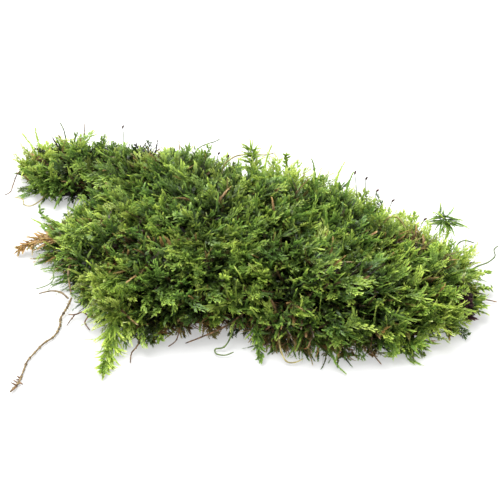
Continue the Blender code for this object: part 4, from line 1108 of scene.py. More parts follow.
def grow_rim_tufts(shoots):
    """Grows the tufts that stand on the back rim, each open like a small bush."""
    for along, count, length in RIM_TUFTS:
        near = edge_places[np.abs(edge_places[:, 0] - along * MM - SHIFT.x) < 2 * MM]
        middle = np.array((along * MM + SHIFT.x, near[:, 1].max() - RIM_TUFT_INSET * MM))
        offset = rng.normal(0, 0.6, (count, 2)) * RIM_TUFT_RADIUS * MM
        x, y = (middle + offset).T
        root = np.column_stack([x, y, read_grid(cushion, x, y) + rng.uniform(0, 2.0, count) * MM])
        azimuth = np.arctan2(offset[:, 1], offset[:, 0]) + rng.normal(0, 0.5, count)
        rise = np.radians(rng.uniform(50, 86, count))
        kind = rng.choice((SPRIG, FEATHER, WHIP), count, p=(0.35, 0.35, 0.30)).astype(float)
        shoots.grow(root, azimuth, rise, rng.uniform(-0.9, 0.2, count), rng.normal(0, 0.8, count),
                    length * rng.uniform(0.65, 1.1, count), (0.75, 1.0), (0.60, 0.82), (0.60, 0.95), kind,
                    free=True, foot=OPEN_FOOT_SHADE)


grow_rim_tufts(shoots)
print(shoots.count(), "shoots with the tufts on the rim")

# %% [markdown]
# ### Long shoots that stray out of the edge
#
# All round the edge single long shoots reach out over the ground, bend and end in the open. They make the
# outline ragged, and the light comes through between them.

# %% Stray shoots
STRAYS = 210
STRAY_LENGTH = (7.0, 12.5)
STRAY_INSET = 5.0


def grow_strays(shoots):
    """Grows single long shoots out of the edge."""
    x, y = scattered(1.3)
    edge, outward = edge_distance(x, y)
    chance = (edge < STRAY_INSET * MM) * (1 - low_bank(x, y))
    pick = rng.choice(len(x), STRAYS, replace=False, p=chance / chance.sum())
    x, y, edge, outward = x[pick], y[pick], edge[pick], outward[pick]
    share = rng.uniform(0.25, 1.0, STRAYS)
    root = np.column_stack([x, y, np.maximum(read_grid(cushion, x, y) * share, 1.5 * MM)])
    rise = np.radians(rng.uniform(-12, 45, STRAYS) * share)
    age, light = looks_at(x, y, share)
    kind = rng.choice((SPRIG, FEATHER, WHIP), STRAYS, p=(0.3, 0.3, 0.4)).astype(float)
    azimuth = outward + rng.normal(0, 0.6, STRAYS)
    shoots.grow(root, azimuth, rise, (-0.9, 0.9), 0.7, STRAY_LENGTH, (0.7, 1.0), age,
                np.clip(light, 0.3, 0.98), kind, free=True, foot=OPEN_FOOT_SHADE)


grow_strays(shoots)
print(shoots.count(), "shoots with the stray ones")

# %% [markdown]
# ### Fringes
#
# In a few places the edge has a thick fringe of its own: ragged shoots at the left shoulder, dead litter and
# drooping shoots along the front, short bright ones by the dark clump at the right.

# %% Fringes
# name: x, y, radius, number of shoots, range of length, direction and its spread in degrees, range of rise,
# range of age, range of lightness
FRINGES = {
    "ragged left shoulder": (-92, 0, 17, 60, (10, 18), 195, 38, (-12, 35), (0.38, 0.68), (0.45, 0.9)),
    "dead shoots at the left": (-92, 8, 9, 26, (9, 16), 195, 35, (-10, 30), (0.17, 0.25), (0.75, 0.98)),
    "left of the front corner": (-84, -22, 12, 34, (8, 14), 205, 40, (-10, 25), (0.32, 0.62), (0.4, 0.85)),
    "litter by the front corner": (-46, -57, 16, 46, (6, 11), 270, 50, (-25, 15), (0.20, 0.78), (0.6, 0.95)),
    "litter at the front": (6, -62, 20, 80, (7, 12), 268, 48, (-40, 5), (0.14, 0.50), (0.45, 0.9)),
    "drooping front shoots": (30, -64, 20, 60, (8, 14), 275, 38, (-38, 5), (0.30, 0.64), (0.5, 0.9)),
    "short shoots by the dark clump": (104, -36, 9, 22, (5, 9), 330, 40, (-10, 35), (0.5, 0.78), (0.6, 0.95)),
}
FRINGE_INSET = 4.0


def grow_fringe(shoots, x, y, radius, count, lengths, direction, spread, rises, ages, lights):
    """Grows one fringe out of the part of the edge that is near its place."""
    near = radii_from(*edge_places.T, (x, y), radius) < 1
    place = edge_places[rng.choice(np.flatnonzero(near), count)]
    azimuth = np.radians(direction + rng.normal(0, spread, count))
    inset = rng.uniform(0.3, 1.0, (count, 1)) * FRINGE_INSET * MM
    place = place - np.column_stack([np.cos(azimuth), np.sin(azimuth)]) * inset
    share = rng.uniform(0.1, 0.9, count)
    height = np.maximum(read_grid(cushion, *place.T) * share, 1.5 * MM)
    kind = rng.choice((SPRIG, WHIP), count, p=(0.4, 0.6)).astype(float)
    rise = np.radians(rng.uniform(*rises, count)) * (0.4 + 0.6 * share)
    shoots.grow(np.column_stack([place, height]), azimuth, rise, (-0.9, 0.3), 0.7, lengths,
                (0.75, 1.05), ages, lights, kind, free=True, foot=OPEN_FOOT_SHADE)


for fringe in FRINGES.values():
    grow_fringe(shoots, *fringe)
print(shoots.count(), "shoots with the fringes")

# %% [markdown]
# ### The mat in strips
#
# One mesh of all the shoots would be too heavy to handle, so the mat is made as strips from left to right,
# each under 200,000 triangles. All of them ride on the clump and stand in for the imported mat.

# %% The mat of shoots
STRIPS = ("left_arm", "left", "middle_left", "middle", "middle_right", "right")
PATTERNS = sprigs + feathers + whips + deep_sprigs
PATTERN_COUNT = np.array([len(group) for group in (sprigs, feathers, whips, deep_sprigs)])
FIRST_PATTERN = np.cumsum(PATTERN_COUNT) - PATTERN_COUNT
# a multiple of every count, so that each pattern of a kind is as likely
PATTERN_DRAW = 60

rows = shoots.table()
kind = rows[:, KIND].astype(int)
pattern_index = FIRST_PATTERN[kind] + rng.integers(0, PATTERN_DRAW, len(rows)) % PATTERN_COUNT[kind]
weight = np.array([len(pattern.faces) for pattern in PATTERNS])[pattern_index]
order = np.argsort(rows[:, 0])
cuts = np.searchsorted(np.cumsum(weight[order]), weight.sum() * np.arange(1, len(STRIPS)) / len(STRIPS))
for name, chosen in zip(STRIPS, np.split(order, cuts)):
    strip = mesh_object("moss_shoots_" + name, *lay_all(PATTERNS, rows[chosen], pattern_index[chosen]))
    dress(strip, leaf_material, "living_moss", "moss_mat")
    print(strip.name, len(strip.data.polygons), "triangles")

# %% [markdown]
# ## The ground of the mat
#
# Between the shoots the eye falls on old stems and soil in deep shade. This is a rough body of dark peat,
# painted near black for that shade, a few millimetres under the cushion's surface, down to the ground, so
# that no light shines through the mat.

# %% Dark ground inside the mat
GROUND_SUNK = 3.2
GROUND_INSET = 1
GROUND_STRIDE = 2


def make_ground():
    """A closed body under the cushion's surface, from every second point of the grid."""
    inner = (round_filter(body, GROUND_INSET, np.minimum, 0.0) > 0)[::GROUND_STRIDE, ::GROUND_STRIDE]
    top = np.maximum(cushion - GROUND_SUNK * MM, 2.5 * MM)[::GROUND_STRIDE, ::GROUND_STRIDE]
    index = -np.ones(inner.shape, int)
    cells = np.argwhere(inner)
    index[inner] = np.arange(len(cells))
    x, y = grid_x[cells[:, 0] * GROUND_STRIDE], grid_y[cells[:, 1] * GROUND_STRIDE]
    z = top[inner] + 1.1 * MM * soft_noise(x, y, 5, 9.0)
    z = np.maximum(z, 2.0 * MM)
    count = len(cells)
    points = np.concatenate([np.column_stack([x, y, z]), np.column_stack([x, y, np.full(count, 1.2 * MM)])])
    faces, edges = [], {}
    for i, j in cells:
        corners = [index[i, j], index[i + 1, j], index[i + 1, j + 1], index[i, j + 1]]
        if min(corners) >= 0:
            a, b, c, d = corners
            faces.extend(((a, b, c), (a, c, d)))
            faces.extend(((a + count, c + count, b + count), (a + count, d + count, c + count)))
            for one, two in ((a, b), (b, c), (c, d), (d, a)):
                edges[one, two] = True
    for one, two in edges:
        if (two, one) not in edges:
            faces.extend(((two, one, one + count), (two, one + count, two + count)))
    used = np.unique(np.array(faces))
    renamed = np.zeros(2 * count, int)
    renamed[used] = np.arange(len(used))
    return mesh_object("mat_dark_ground", points[used], renamed[np.array(faces)])


ground = dress(make_ground(), ground_material, "dead_brown_stem", "moss_mat")
print(ground.name, len(ground.data.polygons), "triangles")

# %% [markdown]
# ## Thin stems
#
# A stem is a round tube along a smooth curve through a few given points. The same function makes the
# loose stems, the rootlets, the stalks and the dead stems under the mat.

# %% Tubes along a route
def smooth_route(points, step_mm):
    """Points at about the given step along a curve through a route's own points."""
    route = np.asarray(points, float)
    padded = np.concatenate([route[:1], route, route[-1:]])
    smooth = []
    for k in range(len(route) - 1):
        a, b, c, d = padded[k:k + 4]
        parts = max(2, round(np.linalg.norm(c - b) / step_mm))
        t = (np.arange(parts) / parts)[:, None]
        bend = (2 * a - 5 * b + 4 * c - d) * t**2 + (3 * b - a - 3 * c + d) * t**3
        smooth.append(0.5 * (2 * b + (c - a) * t + bend))
    return np.concatenate(smooth + [route[-1:]])


def frames(route):
    """Directions along, aside and up at each point of a route."""
    along = np.gradient(route, axis=0)
    along /= np.linalg.norm(along, axis=1, keepdims=True)
    aside = np.cross((0.0, 0.0, 1.0), along)
    flat = np.linalg.norm(aside, axis=1, keepdims=True)
    aside = np.where(flat > 0.05, aside / np.maximum(flat, 1e-9), np.array((1.0, 0.0, 0.0)))
    return along, aside, np.cross(along, aside)


def tube(route, radii, sides=6):
    """A closed tube round a route, in the route's own unit."""
    _, aside, up = frames(route)
    angles = np.arange(sides) * math.tau / sides
    ring = aside[:, None] * np.cos(angles)[:, None] + up[:, None] * np.sin(angles)[:, None]
    points = route[:, None] + ring * np.asarray(radii)[:, None, None]
    rings = np.arange(len(route) - 1)[:, None] * sides
    k = np.arange(sides)
    a, b = rings + k, rings + (k + 1) % sides
    faces = np.concatenate([np.stack([a, b, b + sides], 2).reshape(-1, 3),
                            np.stack([a, b + sides, a + sides], 2).reshape(-1, 3)])
    last = (len(route) - 1) * sides
    caps = [(0, i + 1, i) for i in range(1, sides - 1)]
    caps += [(last, last + i, last + i + 1) for i in range(1, sides - 1)]
    return points.reshape(-1, 3), np.concatenate([faces, np.array(caps)])


def joined_tubes(tubes):
    """Several tubes as one, with nothing on the leaf map."""
    points, faces, _ = joined([(points, faces, points[:, :2]) for points, faces in tubes])
    return points, faces


print("tubes ready")

# %% [markdown]
# Leaves also sit along stems that wander too much for a parabola. This clothes any route in leaves, all
# round it or flattened to two sides, and it hands back the same kind of arrays as the shoots.

# %% Leaves along a route
def leaf_points(start, heading, up, length, half_width):
    """Four points of many folded leaves at once, from rows of vectors in millimetres."""
    aside = np.cross(up, heading)
    middle = start + heading * (length * LEAF_WIDEST)[:, None] + up * (half_width * LEAF_FOLD)[:, None]
    wide = aside * half_width[:, None]
    return np.stack([start, middle + wide, start + heading * length[:, None], middle - wide], 1)


def clothed(route, leaves_per_mm, leaf_length, half_width, age, light, flat=0.5, taper=0.5):
    """Leaves along a route in millimetres. flat is 0 for leaves all round, and 1 for two sides."""
    reach = np.concatenate([[0], np.cumsum(np.linalg.norm(np.diff(route, axis=0), axis=1))])
    count = max(6, int(reach[-1] * leaves_per_mm))
    at = np.sort(rng.uniform(0.02, 1.0, count)) * reach[-1]
    along, aside, up = frames(route)
    start, ahead, side, top = (np.stack([np.interp(at, reach, v[:, k]) for k in range(3)], 1)
                               for v in (route, along, aside, up))
    ring = rng.uniform(0, math.tau, count)
    two_sides = np.where(np.arange(count) % 2, 0.15, math.pi - 0.15) + rng.normal(0, 0.25, count)
    ring = np.where(rng.random(count) < flat, two_sides, ring)
    spread = np.radians(rng.uniform(25, 58, count)) * (1 - 0.4 * at / reach[-1])
    out = side * np.cos(ring)[:, None] + top * np.sin(ring)[:, None]
    heading = ahead * np.cos(spread)[:, None] + out * np.sin(spread)[:, None]
    heading /= np.linalg.norm(heading, axis=1, keepdims=True)
    face = top + rng.normal(0, 0.45, (count, 3))
    face -= heading * (face * heading).sum(1, keepdims=True)
    face /= np.linalg.norm(face, axis=1, keepdims=True)
    size = rng.uniform(0.8, 1.2, count) * (1 - taper * (at / reach[-1]) ** 2)
    points = leaf_points(start, heading, face, leaf_length * size, half_width * size)
    first = np.arange(count)[:, None] * 4
    faces = np.concatenate([first + np.array((0, 2, 1)), first + np.array((0, 3, 2))])
    growth = at / reach[-1]
    ages = age + AGE_SPAN * (growth - GROWTH_MIDDLE)[:, None] * 0.5 + rng.normal(0, AGE_JITTER, (count, 4))
    # painted shade: each leaf darker at its foot
    lights = light * np.array((0.60, 0.86, 1.0, 0.84)) * rng.uniform(0.8, 1.1, (count, 1))
    points = points.reshape(-1, 3) * MM
    points[:, 2] = np.maximum(points[:, 2], FLOOR + rng.uniform(0, 0.3 * MM, len(points)))
    return points, faces, map_places(ages, lights)


def shift_in(parts):
    """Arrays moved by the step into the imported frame."""
    points, faces, places = parts
    return points + np.array(SHIFT), faces, places


print("routes can be clothed in leaves")

# %% [markdown]
# ## Loose stems and shoots
#
# Fifty-four pieces stand out of the mat or lie loose beside it: spore stalks and long shoots at the back
# rim, rootlets and dead twigs at the left and the front, feathery fronds that hang over the edge. Each is
# given here as its kind, its look, its radius and the points of its route, all in millimetres. A frond, a
# tuft and a fan have two numbers more: how many pairs of main sprigs, and how long these are.

# %% Routes of the loose pieces
LOOSE_PIECES = {
    "brown_root_stem": ("stem", "tan", 0.9, (
        (-88, -4, 9), (-89, -12, 7.5), (-88, -19, 6), (-86.5, -26, 4))),
    "long_rootlet": ("knotted", "tan", 0.6, (
        (-86.5, -28.5, 2.8), (-88, -35, 2.2), (-90, -41, 1.4), (-90, -48, 1), (-92, -55, 1), (-96, -60, 1),
        (-99, -66, 1), (-102, -73, 1), (-103, -81, 1.1), (-104, -88, 1.1), (-107, -95, 1.2))),
    "rootlet_side_branch": ("stem", "tan", 0.6, (
        (-88.5, -27, 3), (-92, -22.5, 2.6), (-97, -20.5, 2), (-103, -21.5, 1.1))),
    "rootlet_cross_branch": ("stem", "green", 0.6, (
        (-70, -31, 6), (-76, -32, 4), (-81, -31.5, 3), (-84.5, -30.5, 2.8))),
    "left_green_stem": ("stem", "green", 0.5, (
        (-86, 4, 8), (-94.5, -3, 7.5), (-97, -7.5, 5), (-96.5, -13.5, 4), (-99, -17, 3), (-105, -18, 1.2))),
    "left_dark_twig": ("stem", "brown", 0.6, (
        (-66, -41, 6), (-73.5, -43, 3.6), (-77, -41.2, 3), (-80, -38.5, 2.8), (-83, -39.2, 2),
        (-86.8, -38.5, 1.2))),
    "left_dark_twig_fork": ("stem", "brown", 0.5, (
        (-77.2, -42.6, 2.6), (-78.2, -45.5, 1.8), (-75.5, -50, 0.9))),
    "left_dark_twig_tail": ("stem", "brown", 0.4, (
        (-84.2, -40.4, 1.5), (-85.6, -43, 1), (-86.8, -46.5, 0.8))),
    "feathery_frond": ("frond", "young", 1.5, (
        (-62, -47, 10.5), (-63, -54, 8), (-63.8, -60.5, 5.5), (-64.5, -67, 3.8), (-65.5, -75, 2.8),
        (-66.8, -85, 2.2)), 9, 15),
    "front_left_tuft": ("frond", "young", 1.6, ((-56, -46, 11), (-57, -54, 9), (-57.5, -61, 5)), 3, 7),
    "front_left_fork": ("stem", "brown", 0.5, (
        (-50, -56, 5), (-52, -64, 3), (-54.5, -68, 1.8), (-54.8, -74.5, 1))),
    "rusty_frond": ("frond", "rust", 0.9, (
        (-93, 12, 10), (-101, 15, 8), (-108, 16, 6), (-118, 12.5, 2.6)), 7, 13),
    "arm_hooked_shoot": ("frond", "living", 0.8, (
        (-93, 29, 6.5), (-101, 36, 3.2), (-106, 42.5, 2.2), (-110, 48, 2.6), (-111, 52.5, 4.5)), 2, 5),
    "arm_drooping_shoot": ("shoot", "living", 1.1, ((-98, 64, 8), (-101, 59, 5), (-103.5, 53, 1.6))),
    "bay_shoot": ("stem", "green", 0.6, ((-88, 62, 8), (-92, 56, 5), (-94, 50, 2.5), (-98.5, 46, 1.2))),
    "left_curled_shoot": ("shoot", "living", 0.9, (
        (-95, 19, 7), (-104, 23, 8.5), (-107.5, 28, 9), (-113, 34, 8))),
    "arm_dead_stem": ("stem", "brown", 0.5, (
        (-114, 80, 8.5), (-121, 83, 8), (-126, 81.5, 6), (-128, 76, 3), (-129, 70, 1.4), (-132, 67, 1))),
    "arm_dead_loop": ("stem", "straw", 0.5, (
        (-106, 72, 6), (-110, 61, 3.5), (-116, 56, 1.5), (-120.5, 58, 1.2), (-121.5, 63, 1),
        (-127, 65.5, 1))),
    "arm_back_stem": ("stem", "green", 0.6, (
        (-98, 88, 15), (-100, 92, 21), (-101, 93.5, 26), (-103, 95, 30))),
    "arm_back_thin_stem": ("stem", "brown", 0.4, ((-91, 88, 15), (-90, 94, 23), (-90, 96, 29))),
    "arm_tip_shoot_left": ("shoot", "young", 1.2, ((-114, 88, 9), (-120, 95, 16), (-125, 99, 21))),
    "arm_tip_shoot_right": ("shoot", "young", 1.2, ((-112, 90, 10), (-116.5, 98, 17), (-117.5, 101, 23))),
    "back_curved_stem": ("stem", "green", 0.5, (
        (-33, 70, 17), (-28, 78, 23), (-23, 79.5, 25.5), (-19, 78.5, 27.5), (-16, 77, 30))),
    "back_long_stem": ("stem", "straw", 0.6, (
        (-16, 56, 17), (-13.5, 61, 23.5), (-10, 63.5, 26), (-6, 64.5, 27.5), (1, 65, 28), (8, 65, 27.5),
        (12.5, 64.5, 29))),
    "back_stout_stem": ("stem", "young", 0.9, ((6, 48, 20), (8.5, 56, 30), (11.5, 60, 37))),
    "back_fan_frond": ("tuft", "young", 1, (
        (2, 50, 18), (1.5, 57, 25), (1, 59, 29.5), (0, 60.5, 34.5)), 4, 8),
    "back_lance_shoot": ("frond", "young", 1.2, ((19, 49, 18), (19, 56, 25), (19, 59, 32.5)), 2, 4.5),
    "back_curved_shoot": ("shoot", "living", 1.1, ((33, 45, 19), (33.5, 53, 25), (32, 55.5, 31))),
    "back_right_shoot": ("shoot", "young", 1.1, ((43, 37, 18), (45, 47, 25), (49, 52, 31))),
    "back_right_lance": ("shoot", "living", 1.2, ((48, 32, 19), (50, 40, 24), (53, 45, 29))),
    "spore_stalk_1": ("stalk", "green", 0.4, ((-69, 84, 14), (-68.5, 91, 22), (-69, 93, 28.5))),
    "spore_stalk_2": ("stalk", "green", 0.4, ((-18.5, 60, 17), (-17.5, 65, 24), (-16.5, 65.5, 28.5))),
    "spore_stalk_3": ("stalk", "green", 0.4, ((-11, 47, 19), (-11, 52, 28), (-11.5, 53.5, 34))),
    "spore_stalk_4": ("stalk", "green", 0.4, ((54, 28, 18), (54, 33, 27), (53, 36.5, 34.5))),
    "spore_stalk_5": ("stalk", "green", 0.4, ((60, 23, 17), (58.5, 30, 27), (58.5, 32, 34))),
    "spore_stalk_6": ("stalk", "green", 0.4, ((64, 18, 16), (63, 26, 25), (64, 27, 30))),
    "spore_stalk_7": ("stalk", "green", 0.4, ((67, 15, 16), (70, 20.5, 23), (71.5, 21.5, 27.5))),
    "spore_stalk_8": ("stalk", "green", 0.4, ((80, -1, 14), (84, 6.5, 20), (86.5, 8.5, 25))),
    "arched_stem": ("stem", "straw", 0.7, (
        (64, 2, 18), (66, 4, 25), (69, 5, 28.5), (73, 5, 27.5), (76.5, 3, 23), (78, 1, 18))),
    "right_fan_frond": ("fan", "young", 0.8, (
        (92, -4, 10), (96.5, 2, 16.5), (98.5, 5.5, 21), (96.5, 8.5, 24.5), (93, 11, 27)), 4, 11),
    "right_curved_stem": ("stem", "green", 0.6, (
        (96, -6, 8), (101, -0.5, 12), (103.5, 3, 14), (107, 5, 14.2), (112, 6, 12))),
    "right_tip_stem": ("stem", "green", 0.6, (
        (103, -15, 6), (111, -9, 8), (117, -6.5, 9), (120.5, -5.5, 12), (120, -4, 15), (122, -4, 17.5))),
    "right_tip_shoot": ("frond", "young", 1, ((103, -19, 6), (110, -16, 7.5), (117, -13, 8.5)), 2, 4.5),
    "right_lower_shoot": ("frond", "young", 1, ((103, -23, 4), (111, -21.5, 4), (118, -20, 3.5)), 2, 4.5),
    "right_low_twig": ("stem", "brown", 0.5, (
        (102, -27, 3.5), (111, -27, 2), (115, -27, 1.4), (119.5, -28, 0.9))),
    "front_dark_twig": ("stem", "brown", 0.6, (
        (-4, -50, 10), (-12, -56, 7.5), (-22, -59, 4.2), (-30, -60.5, 1.4))),
    "front_forked_twig": ("stem", "brown", 0.5, (
        (-31, -48, 9), (-33, -56, 5), (-34.5, -60, 2.5), (-38, -62.5, 1))),
    "front_bright_frond": ("frond", "young", 1, ((-40, -48, 9), (-41, -56, 6.5), (-42.5, -61, 3.5)), 2, 5),
    "front_curled_shoot": ("stem", "green", 0.6, (
        (-7, -50, 9), (-9, -60, 5), (-12, -64, 2), (-16, -64.5, 1.2), (-15.5, -68, 1.2), (-11.5, -69, 1.2),
        (-7.5, -67.5, 1.8))),
    "front_fan_shoot": ("frond", "green", 0.9, ((2, -56, 9), (4, -65, 5.5), (5, -74, 1.6)), 3, 6),
    "front_arc_shoot": ("stem", "straw", 0.6, (
        (13, -60, 9), (14, -69, 5), (16.5, -74, 1.8), (20.5, -74.5, 1.4), (24.5, -72.5, 2))),
    "front_right_hook": ("shoot", "living", 1, (
        (34, -62, 9), (37, -72, 5), (40, -78, 2.2), (43.5, -82.5, 1.4))),
    "front_right_twig": ("stem", "brown", 0.6, ((51, -60, 9), (55, -69, 4.5), (60, -75.5, 1.1))),
    "club_shoot": ("shoot", "living", 1.8, ((37, -7, 21), (37, -4, 30), (37, -1, 38.5))),
}
print(len(LOOSE_PIECES), "loose pieces")

# %% [markdown]
# ### Bare stems, rootlets and twigs
#
# The real stems are under a millimetre thick. They taper to their tips and swell a little where an old
# branch has come off, and a rootlet has such a knot every few millimetres. The dead ones still bear a few
# narrow scales, which are the remains of their leaves. The long rootlet has small leaves on its upper half
# and short stubs of roots at its broken end.

# %% Bare stems
ROUTE_STEP = 0.8
STEM_THINNER = 0.78
ROOTED_BY = 1.3
KNOT_SPACING = 4.5
SCALY_LOOKS = ("tan", "brown")
SCALE_LEAF = {"leaves_per_mm": 1.6, "leaf_length": 1.3, "half_width": 0.16}
STEM_TAPER, ROOTLET_TAPER = 0.45, 0.10
ROOTLET_LEAFY = 0.5
ROOTLET_LEAF = {"leaves_per_mm": 2.2, "leaf_length": 1.9, "half_width": 0.24, "age": 0.33}
STUBS = 9
STUB_PLACES = (0.86, 0.985)
STUB_LENGTH = (1.4, 3.2)
STUB_RADIUS = 0.42
# look: the age of its leaves on the leaf map
LOOKS = {
    "brown": 0.12, "tan": 0.22, "rust": 0.205, "straw": 0.96,
    "green": 0.62, "living": 0.62, "young": 0.74,
}
SLOTS = {
    "brown": "dead_brown_stem", "tan": "dead_brown_stem",
    "rust": "rusty_dead_moss", "straw": "straw_coloured_stem",
    "green": "thin_green_stem", "living": "living_moss", "young": "bright_young_moss",
}


def stem_radii(route, radius, knots, taper=STEM_TAPER):
    """Radius along a stem: thinner to its tip, with a knot every few millimetres."""
    reach = np.concatenate([[0], np.cumsum(np.linalg.norm(np.diff(route, axis=0), axis=1))])
    share = reach / reach[-1]
    radii = radius * (1.05 - taper * share)
    phase = rng.uniform(0, 5)
    radii *= 1 + knots * np.maximum(0, np.cos((reach + phase) * math.tau / KNOT_SPACING)) ** 8
    radii[0] *= 0.6
    radii[-1] *= 0.45
    return radii


def move_mesh(points):
    """Millimetres from the mat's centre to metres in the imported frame, off the floor."""
    placed = points * MM + np.array(SHIFT)
    placed[:, 2] = np.maximum(placed[:, 2], FLOOR * 0.6)
    return placed


def rooted(route_points):
    """A route that starts a little sooner, inside what it grows from."""
    route = np.asarray(route_points, float)
    return np.concatenate([[route[0] - unit(route[1] - route[0]) * ROOTED_BY], route])


def stem_piece(name, look, radius, route_points, knots=0.25, taper=STEM_TAPER):
    """A bare stem along its route, with scales on it if it is a dead one."""
    route = smooth_route(rooted(route_points), ROUTE_STEP)
    radii = stem_radii(route, radius * STEM_THINNER, knots, taper)
    points, faces = tube(route, radii)
    piece = mesh_object(name + "_stem", move_mesh(points), faces, smooth=True)
    if look in SCALY_LOOKS:
        leaves = clothed(route, **SCALE_LEAF, age=LOOKS[look], light=0.7)
        dress(mesh_object(name + "_scales", *shift_in(leaves)), leaf_material, SLOTS[look], name)
    return dress(piece, stem_materials[look], SLOTS[look], name)


def rootlet_ends(name, route_points):
    """The small leaves left on the upper part of a rootlet, and the stubs of roots at its broken end."""
    route = smooth_route(route_points, ROUTE_STEP)
    leaves = clothed(route[:int(ROOTLET_LEAFY * len(route))], **ROOTLET_LEAF, light=0.8)
    dress(mesh_object(name + "_leaves", *shift_in(leaves)), leaf_material, "living_moss", name)
    stubs = []
    for share in np.linspace(*STUB_PLACES, STUBS):
        start = route[int(share * (len(route) - 1))]
        azimuth = rng.uniform(0, math.tau)
        reach = np.array((math.cos(azimuth), math.sin(azimuth), 0.1)) * rng.uniform(*STUB_LENGTH)
        line = start + np.outer((-0.2, 0.3, 0.7, 1.0), reach)
        stubs.append(tube(line, STUB_RADIUS * np.array((0.9, 1.0, 0.8, 0.4)), 5))
    points, faces = joined_tubes(stubs)
    piece = mesh_object(name + "_stubs", move_mesh(points), faces)
    dress(piece, stem_materials["brown"], SLOTS["brown"], name)


bare = 0
for name, (kind, look, radius, route_points, *_) in LOOSE_PIECES.items():
    if kind == "stem":
        stem_piece(name, look, radius, route_points, 0.3)
    elif kind == "knotted":
        stem_piece(name, look, radius, route_points, 0.8, ROOTLET_TAPER)
        rootlet_ends(name, route_points)
    bare += kind in ("stem", "knotted")
print(bare, "bare stems")

# %% [markdown]
# ### Spore stalks
#
# A moss bears its spores on a wiry red-brown to green stalk, half a millimetre thick or less, which ends in
# a nodding capsule like a tiny bean.

# %% Spore stalks
CAPSULE_LENGTH = 2.2
CAPSULE_RADIUS = 0.42
# share of the capsule's length, and its thickness there
CAPSULE_PROFILE = ((0.0, 0.5), (0.15, 0.9), (0.4, 1.25), (0.7, 1.15), (0.9, 0.7), (1.0, 0.25))


def spore_stalk(name, look, radius, route_points):
    """A thin smooth stalk with a capsule that nods at its end."""
    route = smooth_route(route_points, 0.7)
    stalk = stem_piece(name, look, radius * 0.8, route_points, 0.0)
    ahead = unit(route[-1] - route[-4])
    start = route[-1] - ahead * CAPSULE_LENGTH * 0.55
    nod = unit(ahead + np.array((0.35, -0.25, -0.15)))
    line = np.array([start + (ahead * (1 - s) + nod * s) * CAPSULE_LENGTH * s for s, _ in CAPSULE_PROFILE])
    points, faces = tube(line, [CAPSULE_RADIUS * size for _, size in CAPSULE_PROFILE], 8)
    capsule = mesh_object(name + "_capsule", move_mesh(points), faces, smooth=True)
    dress(capsule, capsule_material, SLOTS[look], name)
    return stalk


stalks = [spore_stalk(name, *piece[1:4]) for name, piece in LOOSE_PIECES.items() if piece[0] == "stalk"]
print(len(stalks), "spore stalks")

# %% [markdown]
# ### Leafy shoots and fronds
#
# A leafy shoot is its route clothed in leaves. A frond is that and pairs of sprigs along it, shorter
# towards its tip, laid from the same patterns as the mat. A tuft is a short dense frond. A fan has its
# sprigs at the top of its leafy stalk, spread flat to all sides like an umbrella.

# %% Leafy shoots and fronds
SHOOT_LEAF = {"leaves_per_mm": 8.0, "leaf_length": 1.7, "half_width": 0.32}
SHOOT_STEM_RADIUS = 0.32
# look: how light its leaves are, and for all other looks
LEAFY_LIGHT, OTHER_LIGHT = {"young": 0.90, "rust": 0.99}, 0.80
# kind: the share of the route where its sprigs start, the range of their spread in degrees, how much
# shorter they are towards the tip, how many small pairs stand for each main one, and how wide a sprig is
SPRIG_PLACES = {
    "frond": (0.08, (14, 50), 0.95, 4, 0.90),
    "tuft": (0.30, (15, 75), 0.30, 4, 0.85),
    "fan": (0.72, (60, 100), 0.30, 4, 0.85),
}
# a fan's sprigs: the middle and spread of their rise in radians, and how much older and darker they are
FAN_RISE = (0.02, 0.16)
FAN_OLDER = 0.14


def frond_sprigs(kind, route, reach_mm, pairs, age, light):
    """Side sprigs along a route, in pairs, with the small ones near the tip."""
    along, aside, up = frames(route)
    first, spread, shorter, times, width = SPRIG_PLACES[kind]
    count = pairs * times + 4
    share = np.repeat(np.linspace(first, 0.92, count), 2) + rng.uniform(-0.04, 0.04, 2 * count)
    at = (share * (len(route) - 1)).astype(int)
    sign = np.tile((1.0, -1.0), count)
    angle = np.radians(rng.uniform(*spread, len(at)))
    heading = (along[at] * np.cos(angle)[:, None] + aside[at] * (sign * np.sin(angle))[:, None]
               + up[at] * rng.normal(0.12, 0.30, (len(at), 1)))
    azimuth = np.arctan2(heading[:, 1], heading[:, 0])
    rise = np.arctan2(heading[:, 2], np.hypot(heading[:, 0], heading[:, 1]))
    if kind == "fan":
        azimuth = rng.uniform(0, math.tau, len(at))
        rise = rng.normal(*FAN_RISE, len(at))
        age, light = age - FAN_OLDER, light - FAN_OLDER
    length = reach_mm * (1.10 - shorter * share) * rng.uniform(0.6, 1.1, len(at))
    side = Shoots()
    side.grow(route[at] * MM, azimuth, rise, rng.uniform(-0.5, 0.1, len(at)), rng.normal(0, 0.3, len(at)),
              length, rng.uniform(0.8, 1.1, len(at)) * width, age + rng.normal(0, 0.02, len(at)),
              light + rng.normal(0, 0.07, len(at)), WHIP, free=True, foot=OPEN_FOOT_SHADE)
    return lay_all(whips, side.table(), rng.integers(0, len(whips), len(at)))


def leafy_piece(name, kind, look, route_points, pairs=0, reach_mm=0.0):
    """A route clothed in leaves on a thin stem, with the sprigs of its kind."""
    route = smooth_route(route_points, ROUTE_STEP)
    age, light = LOOKS[look], LEAFY_LIGHT.get(look, OTHER_LIGHT)
    parts = [clothed(route, **SHOOT_LEAF, age=age, light=light)]
    if kind in SPRIG_PLACES:
        parts.append(frond_sprigs(kind, route, reach_mm, pairs, age, light))
    piece = mesh_object(name + "_leaves", *shift_in(joined(parts)))
    dress(piece, leaf_material, SLOTS[look], name)
    points, faces = tube(route, stem_radii(route, SHOOT_STEM_RADIUS, 0.1), 4)
    stem = mesh_object(name + "_stem", move_mesh(points), faces)
    return dress(stem, stem_materials[look], SLOTS[look], name)


